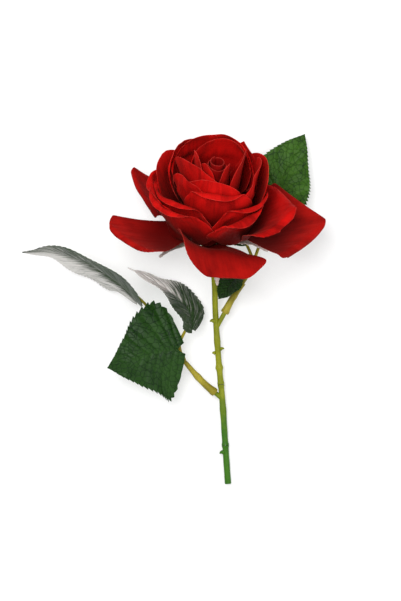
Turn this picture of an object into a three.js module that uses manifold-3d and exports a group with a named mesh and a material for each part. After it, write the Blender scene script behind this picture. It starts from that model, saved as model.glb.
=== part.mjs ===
// Artificial rose of crinkled, dyed petals on a wired plastic stem, lying on its side on a table.
// Millimetres. The origin is the centre of the stem's cut end, +Y runs along the stem towards the
// bloom and +Z points up from the table. The bloom lifts its face upwards at 45 degrees.
import * as THREE from "three";
import { mergeVertices } from "three/addons/utils/BufferGeometryUtils.js";
import Module from "manifold-3d";

const wasm = await Module();
wasm.setup();

// Driving dimensions
const SETTLING_REACH = 7; // how far through one another unsettled petals may lie
const PUSH_FADE = 0.4; // how steeply a push fades out along a petal
const CLEARANCE = 0.3; // gap between pieces that touch
const PETAL_THICKNESS = 0.4;
const PETAL_FOOT_HEIGHT = 0.1; // above the sepals' top face
const LEAF_THICKNESS = 0.5;
const WIRE_RADIUS = 0.8;
const BORE_RADIUS = WIRE_RADIUS + CLEARANCE;
const STEM_RADIUS_FOOT = 2.0;
const STEM_RADIUS_NECK = 1.75;
const STEM_SIDES = 12;
const PEG_RADIUS = 1.4;
const SLEEVE_RADIUS = 2.3;
const PETIOLE_RADIUS = 1.0;
const SPINE_TIP_RADIUS = 0.45;
const CUP_LENGTH = 14;
const CUP_TOP_RADIUS = 11;
const CUP_NECK_RADIUS = 2.9;
const SEPAL_DISC_RADIUS = 10.3;
const SEPAL_LENGTH = 25;
const SEPAL_WIDTH = 10;
const SEPAL_THICKNESS = 0.5;
const CORE_LENGTH = 46;
const CORE_RADIUS = 2.6;
const WIRE_IN_CORE = 22;

// Where the bloom sits and how its axis leans
const BLOOM_BASE = new THREE.Vector3(-9.8, 152.4, 28);
const BLOOM_LIFT = 45; // degrees between the bloom's axis and the table
const BLOOM_LEAN = 2.5; // degrees towards +X

// Middle line of the stem from its cut end to the neck, and the shares of it where sections meet
const STEM_POINTS = [
  [0, 0, 0],
  [-1.7, 24.4, 1],
  [-3.5, 51.4, 2.5],
  [-5.9, 77.2, 4.5],
  [-7.7, 103.8, 7],
  [-8.6, 125.9, 11],
];
const SECTION_ENDS = [0.165, 0.425];
const PEGS = {
  left: [
    [-4.2, 52.6, 2.9],
    [-13.3, 60.4, 5.2],
  ],
  right: [
    [-7, 95.6, 6.2],
    [3.1, 114, 8.4],
  ],
};

// Sepals: azimuth and how far each leans off the bloom's axis
const SEPALS = [
  [-66, 108],
  [6, 118],
  [78, 104],
  [150, 100],
  [222, 104],
];

const LEAVES = {
  leaf_left_long: {
    midrib: [[-55, 110.6, 14], [-63, 119.6, 21], [-82, 132.6, 26], [-104, 140.6, 26], [-123.5, 140.9, 21]],
    width: 46,
    roll: [76, 73],
    fold: 5,
    heart: 2.5,
  },
  leaf_left_middle: {
    midrib: [[-21.4, 94.2, 15], [-23.3, 104.9, 18], [-32.5, 115.2, 20], [-45, 123.4, 21], [-60.4, 131.4, 20]],
    width: 36,
    roll: [-58, -84],
    fold: 5,
    broad: 0.3,
  },
  leaf_left_front: {
    midrib: [[-30, 82.5, 18], [-43.4, 80.5, 21], [-57, 76, 24], [-72.5, 71.5, 21]],
    width: 60,
    roll: [2, 0],
    fold: -8,
    heart: 4.5,
    broad: 0.26,
    rise: 0.7,
    taper: 1.12,
  },
  leaf_right_top: {
    midrib: [[22.5, 154, 6], [29, 176, 5.5], [35, 192, 5], [46.6, 213, 5]],
    width: 40,
    roll: [12, 16],
    fold: 6,
  },
  leaf_right_small: {
    midrib: [[5.4, 127, 14.5], [0, 120, 17], [-5.8, 112.8, 18]],
    width: 20,
    roll: [-50, -50],
    fold: 6,
  },
  leaf_right_hidden: {
    midrib: [[11, 147, 4.6], [3, 159, 2.4], [-8, 172, 1.2]],
    width: 20,
    roll: [0, 0],
    fold: 2,
  },
};

const STALKS = {
  leaf_stalk_left: {
    socket: [[-5.6, 53.8, 3.2], [-14.2, 61.2, 5.4]],
    sleeve: [[-7.9, 55.8, 3.8], [-13.3, 60.4, 5.2], [-18.8, 66, 6.4], [-26, 74.5, 8]],
    branches: [
      {
        lead: [[-24, 72, 7.6], [-31, 81, 8.6], [-42, 98, 9], [-49.5, 109, 12]],
        leaf: "leaf_left_long",
        share: 0.5,
      },
      { lead: [[-27.5, 76.5, 8.2], [-29.5, 85, 9]], leaf: "leaf_left_middle", share: 0.45 },
      { lead: [[-26, 74.5, 8], [-28, 79, 10]], leaf: "leaf_left_front", share: 0.45 },
    ],
  },
  leaf_stalk_right: {
    socket: [[-5.7, 98, 6.4], [4.1, 115.8, 8.6]],
    sleeve: [[-2.2, 104.4, 7.2], [3.1, 114, 8.4], [9.4, 122.4, 9]],
    branches: [
      { lead: [[8, 121, 9], [13.5, 130, 8.4], [17.4, 141, 6.4]], leaf: "leaf_right_top", share: 0.5 },
      { lead: [[10.5, 124.5, 8.8], [9.4, 128.4, 10]], leaf: "leaf_right_small", share: 0.5 },
      { lead: [[14.6, 133, 7.4], [14, 139.5, 5]], leaf: "leaf_right_hidden", share: 0.5 },
    ],
  },
};

const COLOURS = {
  petal: 0xb4120c,
  petalDark: 0x9c0d0a,
  leaf: 0x1f4a22,
  sepal: 0x5a7350,
  stemLow: 0x3f8a1c,
  stemHigh: 0x8c8f12,
  stalk: 0x86801a,
  cup: 0x6f8a20,
  core: 0xd8cfc0,
  wire: 0x8d8f90,
};

const deg = THREE.MathUtils.degToRad;
const clamp = THREE.MathUtils.clamp;
const lerp = THREE.MathUtils.lerp;

// Value at t (0 to 1) of a smooth curve through equally spaced values.
function smoothValue(values, t) {
  const line = new THREE.SplineCurve(values.map((value, i) => new THREE.Vector2(i, value)));
  return line.getPoint(clamp(t, 0, 1)).y;
}

function material(colour, roughness = 0.7) {
  return new THREE.MeshStandardMaterial({ color: colour, roughness, metalness: 0 });
}

function meshOf(name, geometry, colour, roughness) {
  const mesh = new THREE.Mesh(geometry, material(colour, roughness));
  mesh.name = name;
  return mesh;
}

function geometryOf(positions, triangles) {
  const geometry = new THREE.BufferGeometry();
  geometry.setAttribute("position", new THREE.Float32BufferAttribute(positions, 3));
  geometry.setIndex(triangles);
  geometry.computeVertexNormals();
  return geometry;
}

// Solids for cutting and joining
function solidOf(geometry) {
  const bare = geometry.clone();
  bare.deleteAttribute("normal");
  bare.deleteAttribute("uv");
  const merged = mergeVertices(bare, 1e-4);
  return new wasm.Manifold(
    new wasm.Mesh({
      numProp: 3,
      vertProperties: Float32Array.from(merged.attributes.position.array),
      triVerts: Uint32Array.from(merged.index.array),
    }),
  );
}

function geometryOfSolid(solid) {
  const mesh = solid.getMesh();
  return geometryOf(Array.from(mesh.vertProperties), Array.from(mesh.triVerts));
}

// Thin sheets
// Middle points of surface(u, v) on a grid: u across from -1 to 1, v along through the given steps.
function middleGrid(surface, across, alongSteps) {
  return alongSteps.map((v) => {
    const row = [];
    for (let i = 0; i <= across; i++) row.push(surface((2 * i) / across - 1, v));
    return row;
  });
}

// Closed solid reaching half the thickness to both sides of a grid of middle points.
function sheetGeometry(grid, thickness) {
  const [rows, columns] = [grid.length, grid[0].length];
  const faces = { inner: [], outer: [] };
  for (let j = 0; j < rows; j++) {
    for (let i = 0; i < columns; i++) {
      const du = grid[j][Math.min(i + 1, columns - 1)].clone().sub(grid[j][Math.max(i - 1, 0)]);
      const dv = grid[Math.min(j + 1, rows - 1)][i].clone().sub(grid[Math.max(j - 1, 0)][i]);
      const normal = du.cross(dv).normalize().multiplyScalar(thickness / 2);
      faces.inner.push(grid[j][i].clone().add(normal));
      faces.outer.push(grid[j][i].clone().sub(normal));
    }
  }
  const points = [...faces.inner, ...faces.outer];
  const lower = faces.inner.length;
  const at = (i, j) => j * columns + i;
  const triangles = [];
  const quad = (p, q, r, s) => triangles.push(p, q, r, p, r, s);
  for (let j = 0; j < rows - 1; j++) {
    for (let i = 0; i < columns - 1; i++) {
      const corners = [at(i, j), at(i + 1, j), at(i + 1, j + 1), at(i, j + 1)];
      quad(...corners);
      quad(...corners.map((k) => k + lower).reverse());
    }
  }
  const rim = [];
  for (let i = 0; i < columns - 1; i++) rim.push(at(i, 0));
  for (let j = 0; j < rows - 1; j++) rim.push(at(columns - 1, j));
  for (let i = columns - 1; i > 0; i--) rim.push(at(i, rows - 1));
  for (let j = rows - 1; j > 0; j--) rim.push(at(0, j));
  rim.forEach((k, i) => {
    const next = rim[(i + 1) % rim.length];
    quad(k, k + lower, next + lower, next);
  });
  return geometryOf(
    points.flatMap((p) => p.toArray()),
    triangles,
  );
}

// Round rod along a curve, with radiusAt(t) for t from 0 to 1.
function rodGeometry(curve, radiusAt, segments, sides) {
  const frames = curve.computeFrenetFrames(segments, false);
  const points = [];
  for (let j = 0; j <= segments; j++) {
    const t = j / segments;
    const centre = curve.getPointAt(t);
    for (let i = 0; i < sides; i++) {
      const angle = (2 * Math.PI * i) / sides;
      points.push(
        centre
          .clone()
          .addScaledVector(frames.normals[j], Math.cos(angle) * radiusAt(t))
          .addScaledVector(frames.binormals[j], Math.sin(angle) * radiusAt(t)),
      );
    }
  }
  const foot = points.push(curve.getPointAt(0)) - 1;
  const head = points.push(curve.getPointAt(1)) - 1;
  const triangles = [];
  for (let i = 0; i < sides; i++) {
    const next = (i + 1) % sides;
    triangles.push(foot, next, i);
    triangles.push(head, segments * sides + i, segments * sides + next);
    for (let j = 0; j < segments; j++) {
      const [a, b] = [j * sides + i, j * sides + next];
      triangles.push(a, b, b + sides, a, b + sides, a + sides);
    }
  }
  return geometryOf(
    points.flatMap((p) => p.toArray()),
    triangles,
  );
}

function curveThrough(points) {
  return new THREE.CatmullRomCurve3(points.map((p) => new THREE.Vector3(...p)));
}

// The stretch of a curve between two shares of its length, as a curve of its own.
function stretchOf(curve, from, to, count = 10) {
  const points = [];
  for (let i = 0; i <= count; i++) points.push(curve.getPointAt(lerp(from, to, i / count)));
  return new THREE.CatmullRomCurve3(points);
}

// Bloom frame
// Local +Z is the bloom's axis and local -Y its front. Azimuth is measured from the front towards +X.
const bloom = new THREE.Group();
bloom.position.copy(BLOOM_BASE);
bloom.rotation.set(-deg(90 - BLOOM_LIFT), deg(BLOOM_LEAN), 0);
bloom.updateMatrixWorld(true);
const onAxis = (height) => new THREE.Vector3(0, 0, height).applyMatrix4(bloom.matrixWorld);

// Petals
// foot is the radius a petal starts at, rim the [radius, height] its middle line ends at, and lean its
// angles off the bloom's axis at both ends. reach makes the line between them fuller. cup is the radius
// across at base, middle and rim. tilt turns the petal about its own middle line and sway bends it
// sideways. Each roll turns an edge back, facing `toward` degrees off the petal's length, in a strip
// `depth` wide at the tip (or from `start` off the middle). fall is how far below level it settles.
function flatPetal({ width, claw = 2.2, drop = 0.34, point = 0 }, length, u, v) {
  const widest = 0.62;
  const swell =
    v < widest
      ? Math.sin((Math.PI / 2) * (v / widest)) ** 2
      : 1 - 0.28 * ((v - widest) / (1 - widest)) ** 2;
  const half = lerp(claw, width / 2, swell);
  const fall = drop * (1 - Math.sqrt(1 - 0.96 * u * u)) - point * (1 - Math.abs(u)) ** 2;
  return [half * u, length * (v - fall * v ** 3)];
}

function rollEdge({ toward, depth, start, radius, turn }, length, [x, y, z]) {
  const [nx, ny] = [Math.sin(deg(toward)), Math.cos(deg(toward))];
  const beyond = x * nx + (y - length / 2) * ny - (start ?? length / 2 - depth);
  if (beyond <= 0) return [x, y, z];
  const angle = Math.min(beyond / radius, deg(turn));
  const rest = beyond - angle * radius;
  const inPlane = radius * Math.sin(angle) + rest * Math.cos(angle);
  const down = radius * (1 - Math.cos(angle)) + rest * Math.sin(angle);
  return [x - nx * (beyond - inPlane), y - ny * (beyond - inPlane), z - down];
}

// Middle line of a petal in the plane through the bloom's axis.
function petalSpine({ foot, rim, lean, reach = 0.38 }) {
  const handle = reach * Math.hypot(rim[0] - foot[0], rim[1] - foot[1]);
  const ahead = (angle) => [handle * Math.sin(deg(angle)), handle * Math.cos(deg(angle))];
  const [start, end] = lean.map(ahead);
  return new THREE.CubicBezierCurve(
    new THREE.Vector2(...foot),
    new THREE.Vector2(foot[0] + start[0], foot[1] + start[1]),
    new THREE.Vector2(rim[0] - end[0], rim[1] - end[1]),
    new THREE.Vector2(...rim),
  );
}

function petalSurface(petal) {
  const { azimuth, cup, tilt = 0, sway = 0, rolls = [] } = petal;
  const spine = petalSpine({ ...petal, foot: [petal.foot, PETAL_FOOT_HEIGHT] });
  const length = spine.getLength();
  const out = new THREE.Vector3(Math.sin(deg(azimuth)), -Math.cos(deg(azimuth)), 0);
  const side = new THREE.Vector3(Math.cos(deg(azimuth)), Math.sin(deg(azimuth)), 0);
  const axis = new THREE.Vector3(0, 0, 1);
  return (u, v) => {
    let place = [...flatPetal(petal, length, u, v), 0];
    for (const roll of rolls) place = rollEdge(roll, length, place);
    const [x, y, z] = place;
    const share = clamp(y / length, 0, 1);
    const middle = spine.getPointAt(share);
    const along = spine.getTangentAt(share);
    const over = y - share * length;
    const radius = smoothValue(cup, share);
    const across = (radius - z) * Math.sin(x / radius);
    const inward = radius - (radius - z) * Math.cos(x / radius);
    const turn = deg(tilt) * Math.min(1, 3 * share);
    const aside = across * Math.cos(turn) - inward * Math.sin(turn) + sway * share * share;
    const up = across * Math.sin(turn) + inward * Math.cos(turn);
    return new THREE.Vector3()
      .addScaledVector(out, middle.x + along.x * over - along.y * up)
      .addScaledVector(side, aside)
      .addScaledVector(axis, middle.y + along.y * over + along.x * up);
  };
}

const lip = (depth, radius, turn) => ({ toward: 0, depth, radius, turn });
const corners = (toward, depth, radius, turn) => [
  { toward, depth, radius, turn },
  { toward: -toward, depth, radius, turn },
];
const sides = (toward, start, radius, turn) => [
  { toward, start, radius, turn },
  { toward: -toward, start, radius, turn },
];

const PETALS = {
  heart_petal_left: {
    azimuth: -62, foot: 4.2, rim: [6.6, 56], lean: [14, 0],
    width: 22, cup: [4, 12, 24], tilt: 8,
  },
  heart_petal_right: {
    azimuth: 57, foot: 4.2, rim: [7.4, 56.5], lean: [14, 2],
    width: 24, cup: [4, 12, 20], tilt: 8,
  },
  heart_petal_back: {
    azimuth: 178, foot: 4.2, rim: [8.5, 50], lean: [14, 0],
    width: 24, cup: [4, 10, 12], tilt: 8,
  },
  inner_petal_left: {
    azimuth: -74, foot: 5.1, rim: [9.8, 57], lean: [22, 2],
    width: 30, cup: [5, 16, 40], sway: -9,
  },
  inner_petal_right: {
    azimuth: 73, foot: 5.1, rim: [13.5, 56], lean: [26, 4],
    width: 40, cup: [5, 16, 60], sway: 10, drop: 0.2,
  },
  inner_petal_back: {
    azimuth: 180, foot: 5.1, rim: [20, 54], lean: [34, 2],
    width: 44, cup: [5, 14, 18], drop: 0.25,
  },
  inner_petal_front: {
    azimuth: -47, foot: 5.1, rim: [10.6, 54], lean: [24, 2],
    width: 52, cup: [5, 18, 42], tilt: 9, sway: -9, drop: 0.2,
  },
  cup_petal_front: {
    azimuth: -11, foot: 6, rim: [12.4, 51.5], lean: [30, 0],
    width: 40, cup: [6, 18, 60], drop: 0.16,
  },
  cup_petal_left: {
    azimuth: -43, foot: 6, rim: [16.3, 48], lean: [30, 2],
    width: 38, cup: [6, 18, 60], sway: -9, drop: 0.24,
  },
  cup_petal_back: {
    azimuth: 182, foot: 6, rim: [24, 55.5], lean: [44, 0],
    width: 56, cup: [6, 18, 21],
  },
  cup_petal_right: {
    azimuth: 77, foot: 6, rim: [24, 51], lean: [40, 6],
    width: 46, cup: [6, 20, 28], sway: 10, drop: 0.26,
  },
  cup_petal_back_left: {
    azimuth: -142, foot: 6, rim: [30, 51], lean: [46, 8],
    width: 46, cup: [6, 20, 30],
  },
  mid_petal_front: {
    azimuth: 2, foot: 7, rim: [15.5, 51], lean: [32, -2], fall: 10,
    width: 40, cup: [7, 18, 60], drop: 0.16,
    rolls: [lip(7, 2.4, 150)],
  },
  mid_petal_back_right: {
    azimuth: 145, foot: 7, rim: [28, 46], lean: [54, 4], fall: 10,
    width: 34, point: 0.12, cup: [7, 24, 40],
  },
  mid_petal_back: {
    azimuth: -170, foot: 7, rim: [33, 40], lean: [58, 6], fall: 10,
    width: 48, cup: [7, 26, 36],
  },
  mid_petal_right: {
    azimuth: 110, foot: 7, rim: [31, 50], lean: [56, 4], fall: 10,
    width: 44, cup: [7, 24, 30], drop: 0.26,
  },
  mid_petal_back_left: {
    azimuth: -120, foot: 7, rim: [36, 45], lean: [60, 16], fall: 10,
    width: 44, cup: [7, 24, 40],
  },
  rolled_petal_left_inner: {
    azimuth: -53, foot: 8.1, rim: [20, 45], lean: [40, 2], fall: 15,
    width: 40, cup: [8, 17, 60], tilt: -12, sway: -4, drop: 0.2,
    rolls: [lip(10, 4, 120)],
  },
  mid_petal_left: {
    azimuth: -94, foot: 8.1, rim: [25, 43], lean: [42, 6], fall: 10,
    width: 34, cup: [7, 22, 40], tilt: 15,
    rolls: [lip(7, 3, 80)],
  },
  rolled_petal_right_inner: {
    azimuth: 40, foot: 8.1, rim: [21.5, 43], lean: [40, 2], fall: 15,
    width: 40, cup: [8, 18, 70], tilt: 8, sway: 5, drop: 0.2,
    rolls: [lip(6, 2, 140)],
  },
  rolled_petal_left_outer: {
    azimuth: -46, foot: 9.2, rim: [27, 42], lean: [46, 10], fall: 5,
    width: 44, cup: [9, 22, 50], tilt: -6, sway: -7, drop: 0.24,
    rolls: [lip(8, 3.2, 130)],
  },
  rolled_petal_right_outer: {
    azimuth: 37, foot: 9.2, rim: [30, 39], lean: [46, 20], fall: 8,
    width: 40, cup: [9, 22, 50], tilt: 6, sway: 0, drop: 0.26,
    rolls: [lip(8, 3.2, 130)],
  },
  rolled_petal_far_right: {
    azimuth: 78, foot: 9.2, rim: [48, 31], lean: [56, 54], fall: 40,
    width: 50, cup: [9, 30, 60],
    rolls: corners(38, 7, 2.5, 150),
  },
  outer_petal_front: {
    azimuth: 2, foot: 10.4, rim: [46, 4], lean: [44, 132], reach: 0.6, fall: 40,
    width: 58, claw: 5, cup: [14, 60, 90], tilt: -27, sway: 7, drop: 0.28,
    rolls: [lip(4, 1.6, 170)],
  },
  outer_petal_right: {
    azimuth: 91, foot: 10.4, rim: [67, 12], lean: [88, 80], fall: 70,
    width: 66, cup: [12, 60, 90],
    rolls: corners(42, 8.3, 2.4, 165),
  },
  outer_petal_back_right: {
    azimuth: 171, foot: 10.4, rim: [47, 8], lean: [84, 92], fall: 60,
    width: 40, cup: [12, 50, 70],
  },
  outer_petal_back_left: {
    azimuth: -152, foot: 10.4, rim: [48, 8], lean: [84, 92], fall: 60,
    width: 42, cup: [12, 50, 70],
  },
  outer_petal_upper_left: {
    azimuth: -124, foot: 10.4, rim: [58, 21], lean: [70, 64], fall: 50,
    width: 46, cup: [12, 40, 60],
    rolls: sides(63, 11.5, 1.8, 165),
  },
  outer_petal_left: {
    azimuth: -78, foot: 10.4, rim: [62, 14], lean: [84, 66], fall: 60,
    width: 54, claw: 4, cup: [12, 40, 40], drop: 0.5,
    rolls: [{ toward: -90, start: 9, radius: 2, turn: 150 }, { toward: 38, depth: 8, radius: 1.6, turn: 190 }],
  },
};

// Settling: petals are glued on one after another, so each lies outside all that came before it.
// A petal's points are pushed outwards, `fall` degrees below level, until they clear the earlier ones.
function facetsOf(grid) {
  const list = [];
  const add = (slots) => {
    const [a, b, c] = slots.map(([j, i]) => grid[j][i]);
    const [ab, ac] = [b.clone().sub(a), c.clone().sub(a)];
    const normal = ab.clone().cross(ac);
    const centre = a.clone().add(b).add(c).divideScalar(3);
    const size = Math.max(centre.distanceTo(a), centre.distanceTo(b), centre.distanceTo(c));
    list.push({ a, ab, ac, normal, centre, size, slots });
  };
  for (let j = 0; j < grid.length - 1; j++) {
    for (let i = 0; i < grid[0].length - 1; i++) {
      add([[j, i], [j, i + 1], [j + 1, i + 1]]);
      add([[j, i], [j + 1, i + 1], [j + 1, i]]);
    }
  }
  return list;
}

// Distance along a line to a facet (or null if it misses), and how squarely the line meets it.
function crossing(origin, direction, { a, ab, ac, normal }) {
  const facing = normal.dot(direction);
  if (Math.abs(facing) < 1e-9) return null;
  const distance = a.clone().sub(origin).dot(normal) / facing;
  const hit = origin.clone().addScaledVector(direction, distance).sub(a);
  const area = normal.lengthSq();
  const s = normal.dot(ab.clone().cross(hit)) / area;
  const t = normal.dot(hit.clone().cross(ac)) / area;
  if (s < -0.05 || t < -0.05 || s + t > 1.05) return null;
  return { distance, squareness: Math.max(Math.abs(facing) / Math.sqrt(area), 0.6) };
}

function pushDirection(point, fall) {
  const out = new THREE.Vector3(point.x, point.y, 0).normalize();
  return out.multiplyScalar(Math.cos(deg(fall))).add(new THREE.Vector3(0, 0, -Math.sin(deg(fall))));
}

// Calls found(distance, squareness, facet) where lines through the points meet the facets nearby.
function eachCrossing(points, fall, facets, found) {
  for (const point of points) {
    let direction = null;
    for (const facet of facets) {
      const near = SETTLING_REACH + facet.size;
      if (facet.centre.distanceToSquared(point) > near * near) continue;
      direction ??= pushDirection(point, fall);
      const met = crossing(point, direction, facet);
      if (met) found(met, facet, point);
    }
  }
}

function settle(grid, fall, earlier) {
  const pitch = PETAL_THICKNESS + 0.7 * CLEARANCE;
  for (let round = 0; round < 6; round++) {
    const need = grid.map((row) => row.map(() => 0));
    const ask = (slots, amount) => {
      for (const [j, i] of slots) need[j][i] = Math.max(need[j][i], amount);
    };
    const own = facetsOf(grid);
    const ownPoints = grid.flatMap((row, j) => row.map((point, i) => [point, [[j, i]]]));
    for (const { centre, slots } of own) ownPoints.push([centre, slots]);
    for (const other of earlier) {
      for (const [point, slots] of ownPoints) {
        eachCrossing([point], fall, other.facets, ({ distance, squareness }) => {
          if (distance > -2 * pitch && distance < SETTLING_REACH) ask(slots, distance + pitch / squareness);
        });
      }
      eachCrossing(other.points, fall, own, ({ distance, squareness }, facet, point) => {
        const reach = Math.min(SETTLING_REACH, 0.9 * Math.hypot(point.x, point.y));
        if (distance < 2 * pitch && distance > -reach) ask(facet.slots, pitch / squareness - distance);
      });
    }
    const pushes = grid.map((row, j) =>
      row.map((point) => {
        let most = 0;
        grid.forEach((line, l) =>
          line.forEach((from, k) => {
            if (need[l][k] > 0) most = Math.max(most, need[l][k] - PUSH_FADE * point.distanceTo(from));
          }),
        );
        return j === 0 ? 0 : most;
      }),
    );
    if (Math.max(...pushes.flat()) < 0.02) break;
    grid.forEach((row, j) =>
      row.forEach((point, i) => {
        if (pushes[j][i] > 0) point.addScaledVector(pushDirection(point, fall), pushes[j][i]);
      }),
    );
  }
}

function settled(grid) {
  const facets = facetsOf(grid);
  return { facets, points: [...grid.flat(), ...facets.map(({ centre }) => centre)] };
}

// Cutting a piece back wherever it would touch one of the petals already in place.
function trimmed(solid, earlier) {
  for (const blocker of earlier.flatMap(({ room, solid }) => [room, solid])) {
    if (solid.intersect(blocker).volume() > 0) solid = largestBody(solid.subtract(blocker));
  }
  return solid;
}

function largestBody(solid) {
  return solid.decompose().reduce((most, body) => (body.volume() > most.volume() ? body : most));
}

const ALONG = [0, 0.16, 0.32, 0.47, 0.6, 0.71, 0.8, 0.88, 0.94, 1];
const ACROSS = 8;
const placed = [];
for (const [name, petal] of Object.entries(PETALS)) {
  const grid = middleGrid(petalSurface(petal), ACROSS, ALONG);
  settle(grid, petal.fall ?? 0, placed);
  const solid = trimmed(solidOf(sheetGeometry(grid, PETAL_THICKNESS)), placed);
  const room = solidOf(sheetGeometry(grid, PETAL_THICKNESS + CLEARANCE));
  placed.push({ ...settled(grid), solid, room });
  bloom.add(meshOf(name, geometryOfSolid(solid), COLOURS.petal, 0.8));
}

// Coiled bud at the bloom's heart: one petal wound round the core.
function coilSurface(u, v) {
  const turns = 1.7;
  const wound = (u + 1) / 2;
  const angle = deg(200) + 2 * Math.PI * turns * wound;
  const radius = lerp(3.4, 6.0, wound) * lerp(1, 0.95, v * v) - 0.4 * wound * (1 - v);
  const top = 57 - 4 * wound;
  return new THREE.Vector3(Math.sin(angle) * radius, -Math.cos(angle) * radius, lerp(24, top, v));
}
const coilGrid = middleGrid(coilSurface, 34, [0, 0.25, 0.5, 0.75, 1]);
bloom.add(meshOf("bud_coil", sheetGeometry(coilGrid, PETAL_THICKNESS), COLOURS.petalDark, 0.8));

// Core, calyx and sepals
function turned(profile, sides) {
  return new THREE.LatheGeometry(
    profile.map(([r, h]) => new THREE.Vector2(r, h)),
    sides,
  ).rotateX(Math.PI / 2);
}

const coreProfile = [
  [0, WIRE_IN_CORE + CLEARANCE],
  [BORE_RADIUS, WIRE_IN_CORE + CLEARANCE],
  [BORE_RADIUS, -0.1],
  [CORE_RADIUS + 0.7, -0.1],
  [CORE_RADIUS + 0.5, 6],
  [CORE_RADIUS, 30],
  [CORE_RADIUS * 0.7, 42],
  [0, CORE_LENGTH],
];
bloom.add(meshOf("bud_core", turned(coreProfile, 14), COLOURS.core, 0.9));

const cupTop = -SEPAL_THICKNESS - 2 * CLEARANCE - 0.2;
const cupProfile = [
  [BORE_RADIUS, cupTop - CUP_LENGTH],
  [CUP_NECK_RADIUS, cupTop - CUP_LENGTH],
  [CUP_NECK_RADIUS + 0.4, cupTop - 0.8 * CUP_LENGTH],
  [CUP_TOP_RADIUS * 0.55, cupTop - 0.55 * CUP_LENGTH],
  [CUP_TOP_RADIUS * 0.85, cupTop - 0.25 * CUP_LENGTH],
  [CUP_TOP_RADIUS, cupTop - 1],
  [CUP_TOP_RADIUS - 0.8, cupTop],
  [BORE_RADIUS, cupTop],
  [BORE_RADIUS, cupTop - CUP_LENGTH],
];
bloom.add(meshOf("calyx_cup", turned(cupProfile, 20), COLOURS.cup, 0.5));

function sepalSurface(azimuth, droop) {
  const spine = petalSpine({
    foot: [SEPAL_DISC_RADIUS - 1.5, 0],
    rim: [SEPAL_DISC_RADIUS + SEPAL_LENGTH * Math.sin(deg(droop)), SEPAL_LENGTH * Math.cos(deg(droop))],
    lean: [90, droop + 15],
  });
  const out = new THREE.Vector3(Math.sin(deg(azimuth)), -Math.cos(deg(azimuth)), 0);
  const side = new THREE.Vector3(Math.cos(deg(azimuth)), Math.sin(deg(azimuth)), 0);
  return (u, v) => {
    const swell = lerp(0.75, 1, Math.sin(Math.PI * Math.min(1, v * 1.6)));
    const half = (SEPAL_WIDTH / 2) * swell * (1 - 0.88 * v ** 2.5);
    const middle = spine.getPointAt(v);
    return new THREE.Vector3()
      .addScaledVector(out, middle.x)
      .addScaledVector(side, u * half)
      .add(new THREE.Vector3(0, 0, sepalHeight + middle.y + 0.12 * half * u * u));
  };
}

const sepalHeight = -SEPAL_THICKNESS / 2 - CLEARANCE - 0.1;
let sepals = solidOf(
  turned(
    [
      [BORE_RADIUS, sepalHeight - SEPAL_THICKNESS / 2],
      [SEPAL_DISC_RADIUS, sepalHeight - SEPAL_THICKNESS / 2],
      [SEPAL_DISC_RADIUS, sepalHeight + SEPAL_THICKNESS / 2],
      [BORE_RADIUS, sepalHeight + SEPAL_THICKNESS / 2],
      [BORE_RADIUS, sepalHeight - SEPAL_THICKNESS / 2],
    ],
    20,
  ),
);
for (const [azimuth, droop] of SEPALS) {
  const grid = middleGrid(sepalSurface(azimuth, droop), 4, [0, 0.2, 0.4, 0.6, 0.8, 1]);
  settle(grid, 75, placed);
  sepals = sepals.add(solidOf(sheetGeometry(grid, SEPAL_THICKNESS * 0.9)));
}
bloom.add(meshOf("sepal_star", geometryOfSolid(trimmed(sepals, placed)), COLOURS.sepal, 0.6));

// Stem: a wire threaded through three moulded sections that carry pegs, thorns and a ring
const neck = cupTop - CUP_LENGTH - 1.5 * CLEARANCE;
const stemCurve = curveThrough([...STEM_POINTS, onAxis(neck - 4).toArray(), onAxis(neck).toArray()]);
const stemLength = stemCurve.getLength();
const stemRadius = (t) => lerp(STEM_RADIUS_FOOT, STEM_RADIUS_NECK, t);

const wireCurve = new THREE.CurvePath();
wireCurve.add(stemCurve);
wireCurve.add(new THREE.LineCurve3(onAxis(neck), onAxis(WIRE_IN_CORE)));
const wireLine = stretchOf(wireCurve, 0, 1, 24);
const mouth = wireLine.getTangentAt(0);
const stemBore = solidOf(rodGeometry(wireLine, () => BORE_RADIUS, 30, 8)).add(
  peg(mouth.clone().negate().toArray(), mouth.toArray(), BORE_RADIUS),
);

function peg(from, to, radius) {
  return solidOf(rodGeometry(curveThrough([from, to]), () => radius, 1, 10));
}

function bump([x, y, z], radius, stretch) {
  return solidOf(new THREE.IcosahedronGeometry(radius, 1).scale(1, stretch, 1).translate(x, y, z));
}

function section(name, from, to, colour, extras) {
  const length = (to - from) * stemLength;
  const count = Math.max(3, Math.round(length / 9));
  let solid = solidOf(
    rodGeometry(stretchOf(stemCurve, from, to), (t) => stemRadius(lerp(from, to, t)), count, STEM_SIDES),
  );
  for (const extra of extras) solid = solid.add(extra);
  root.add(meshOf(name, geometryOfSolid(solid.subtract(stemBore)), colour, 0.45));
}

const root = new THREE.Group();
const halfGap = CLEARANCE / 2 / stemLength;
section("stem_section_lower", 0, SECTION_ENDS[0] - halfGap, COLOURS.stemLow, [
  bump([-3.9, 19.5, 1.5], 1.1, 1.6),
]);
section("stem_section_middle", SECTION_ENDS[0] + halfGap, SECTION_ENDS[1] - halfGap, COLOURS.stemLow, [
  peg(PEGS.left[0], PEGS.left[1], PEG_RADIUS),
]);
section("stem_section_upper", SECTION_ENDS[1] + halfGap, 1, COLOURS.stemHigh, [
  peg(PEGS.right[0], PEGS.right[1], PEG_RADIUS),
  bump([-7.2, 81, 4.9], 2.5, 0.6),
  bump([-9.9, 99.5, 6.7], 1.1, 1.6),
]);
root.add(meshOf("stem_wire", rodGeometry(wireLine, () => WIRE_RADIUS, 30, 8), COLOURS.wire, 0.4));

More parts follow.
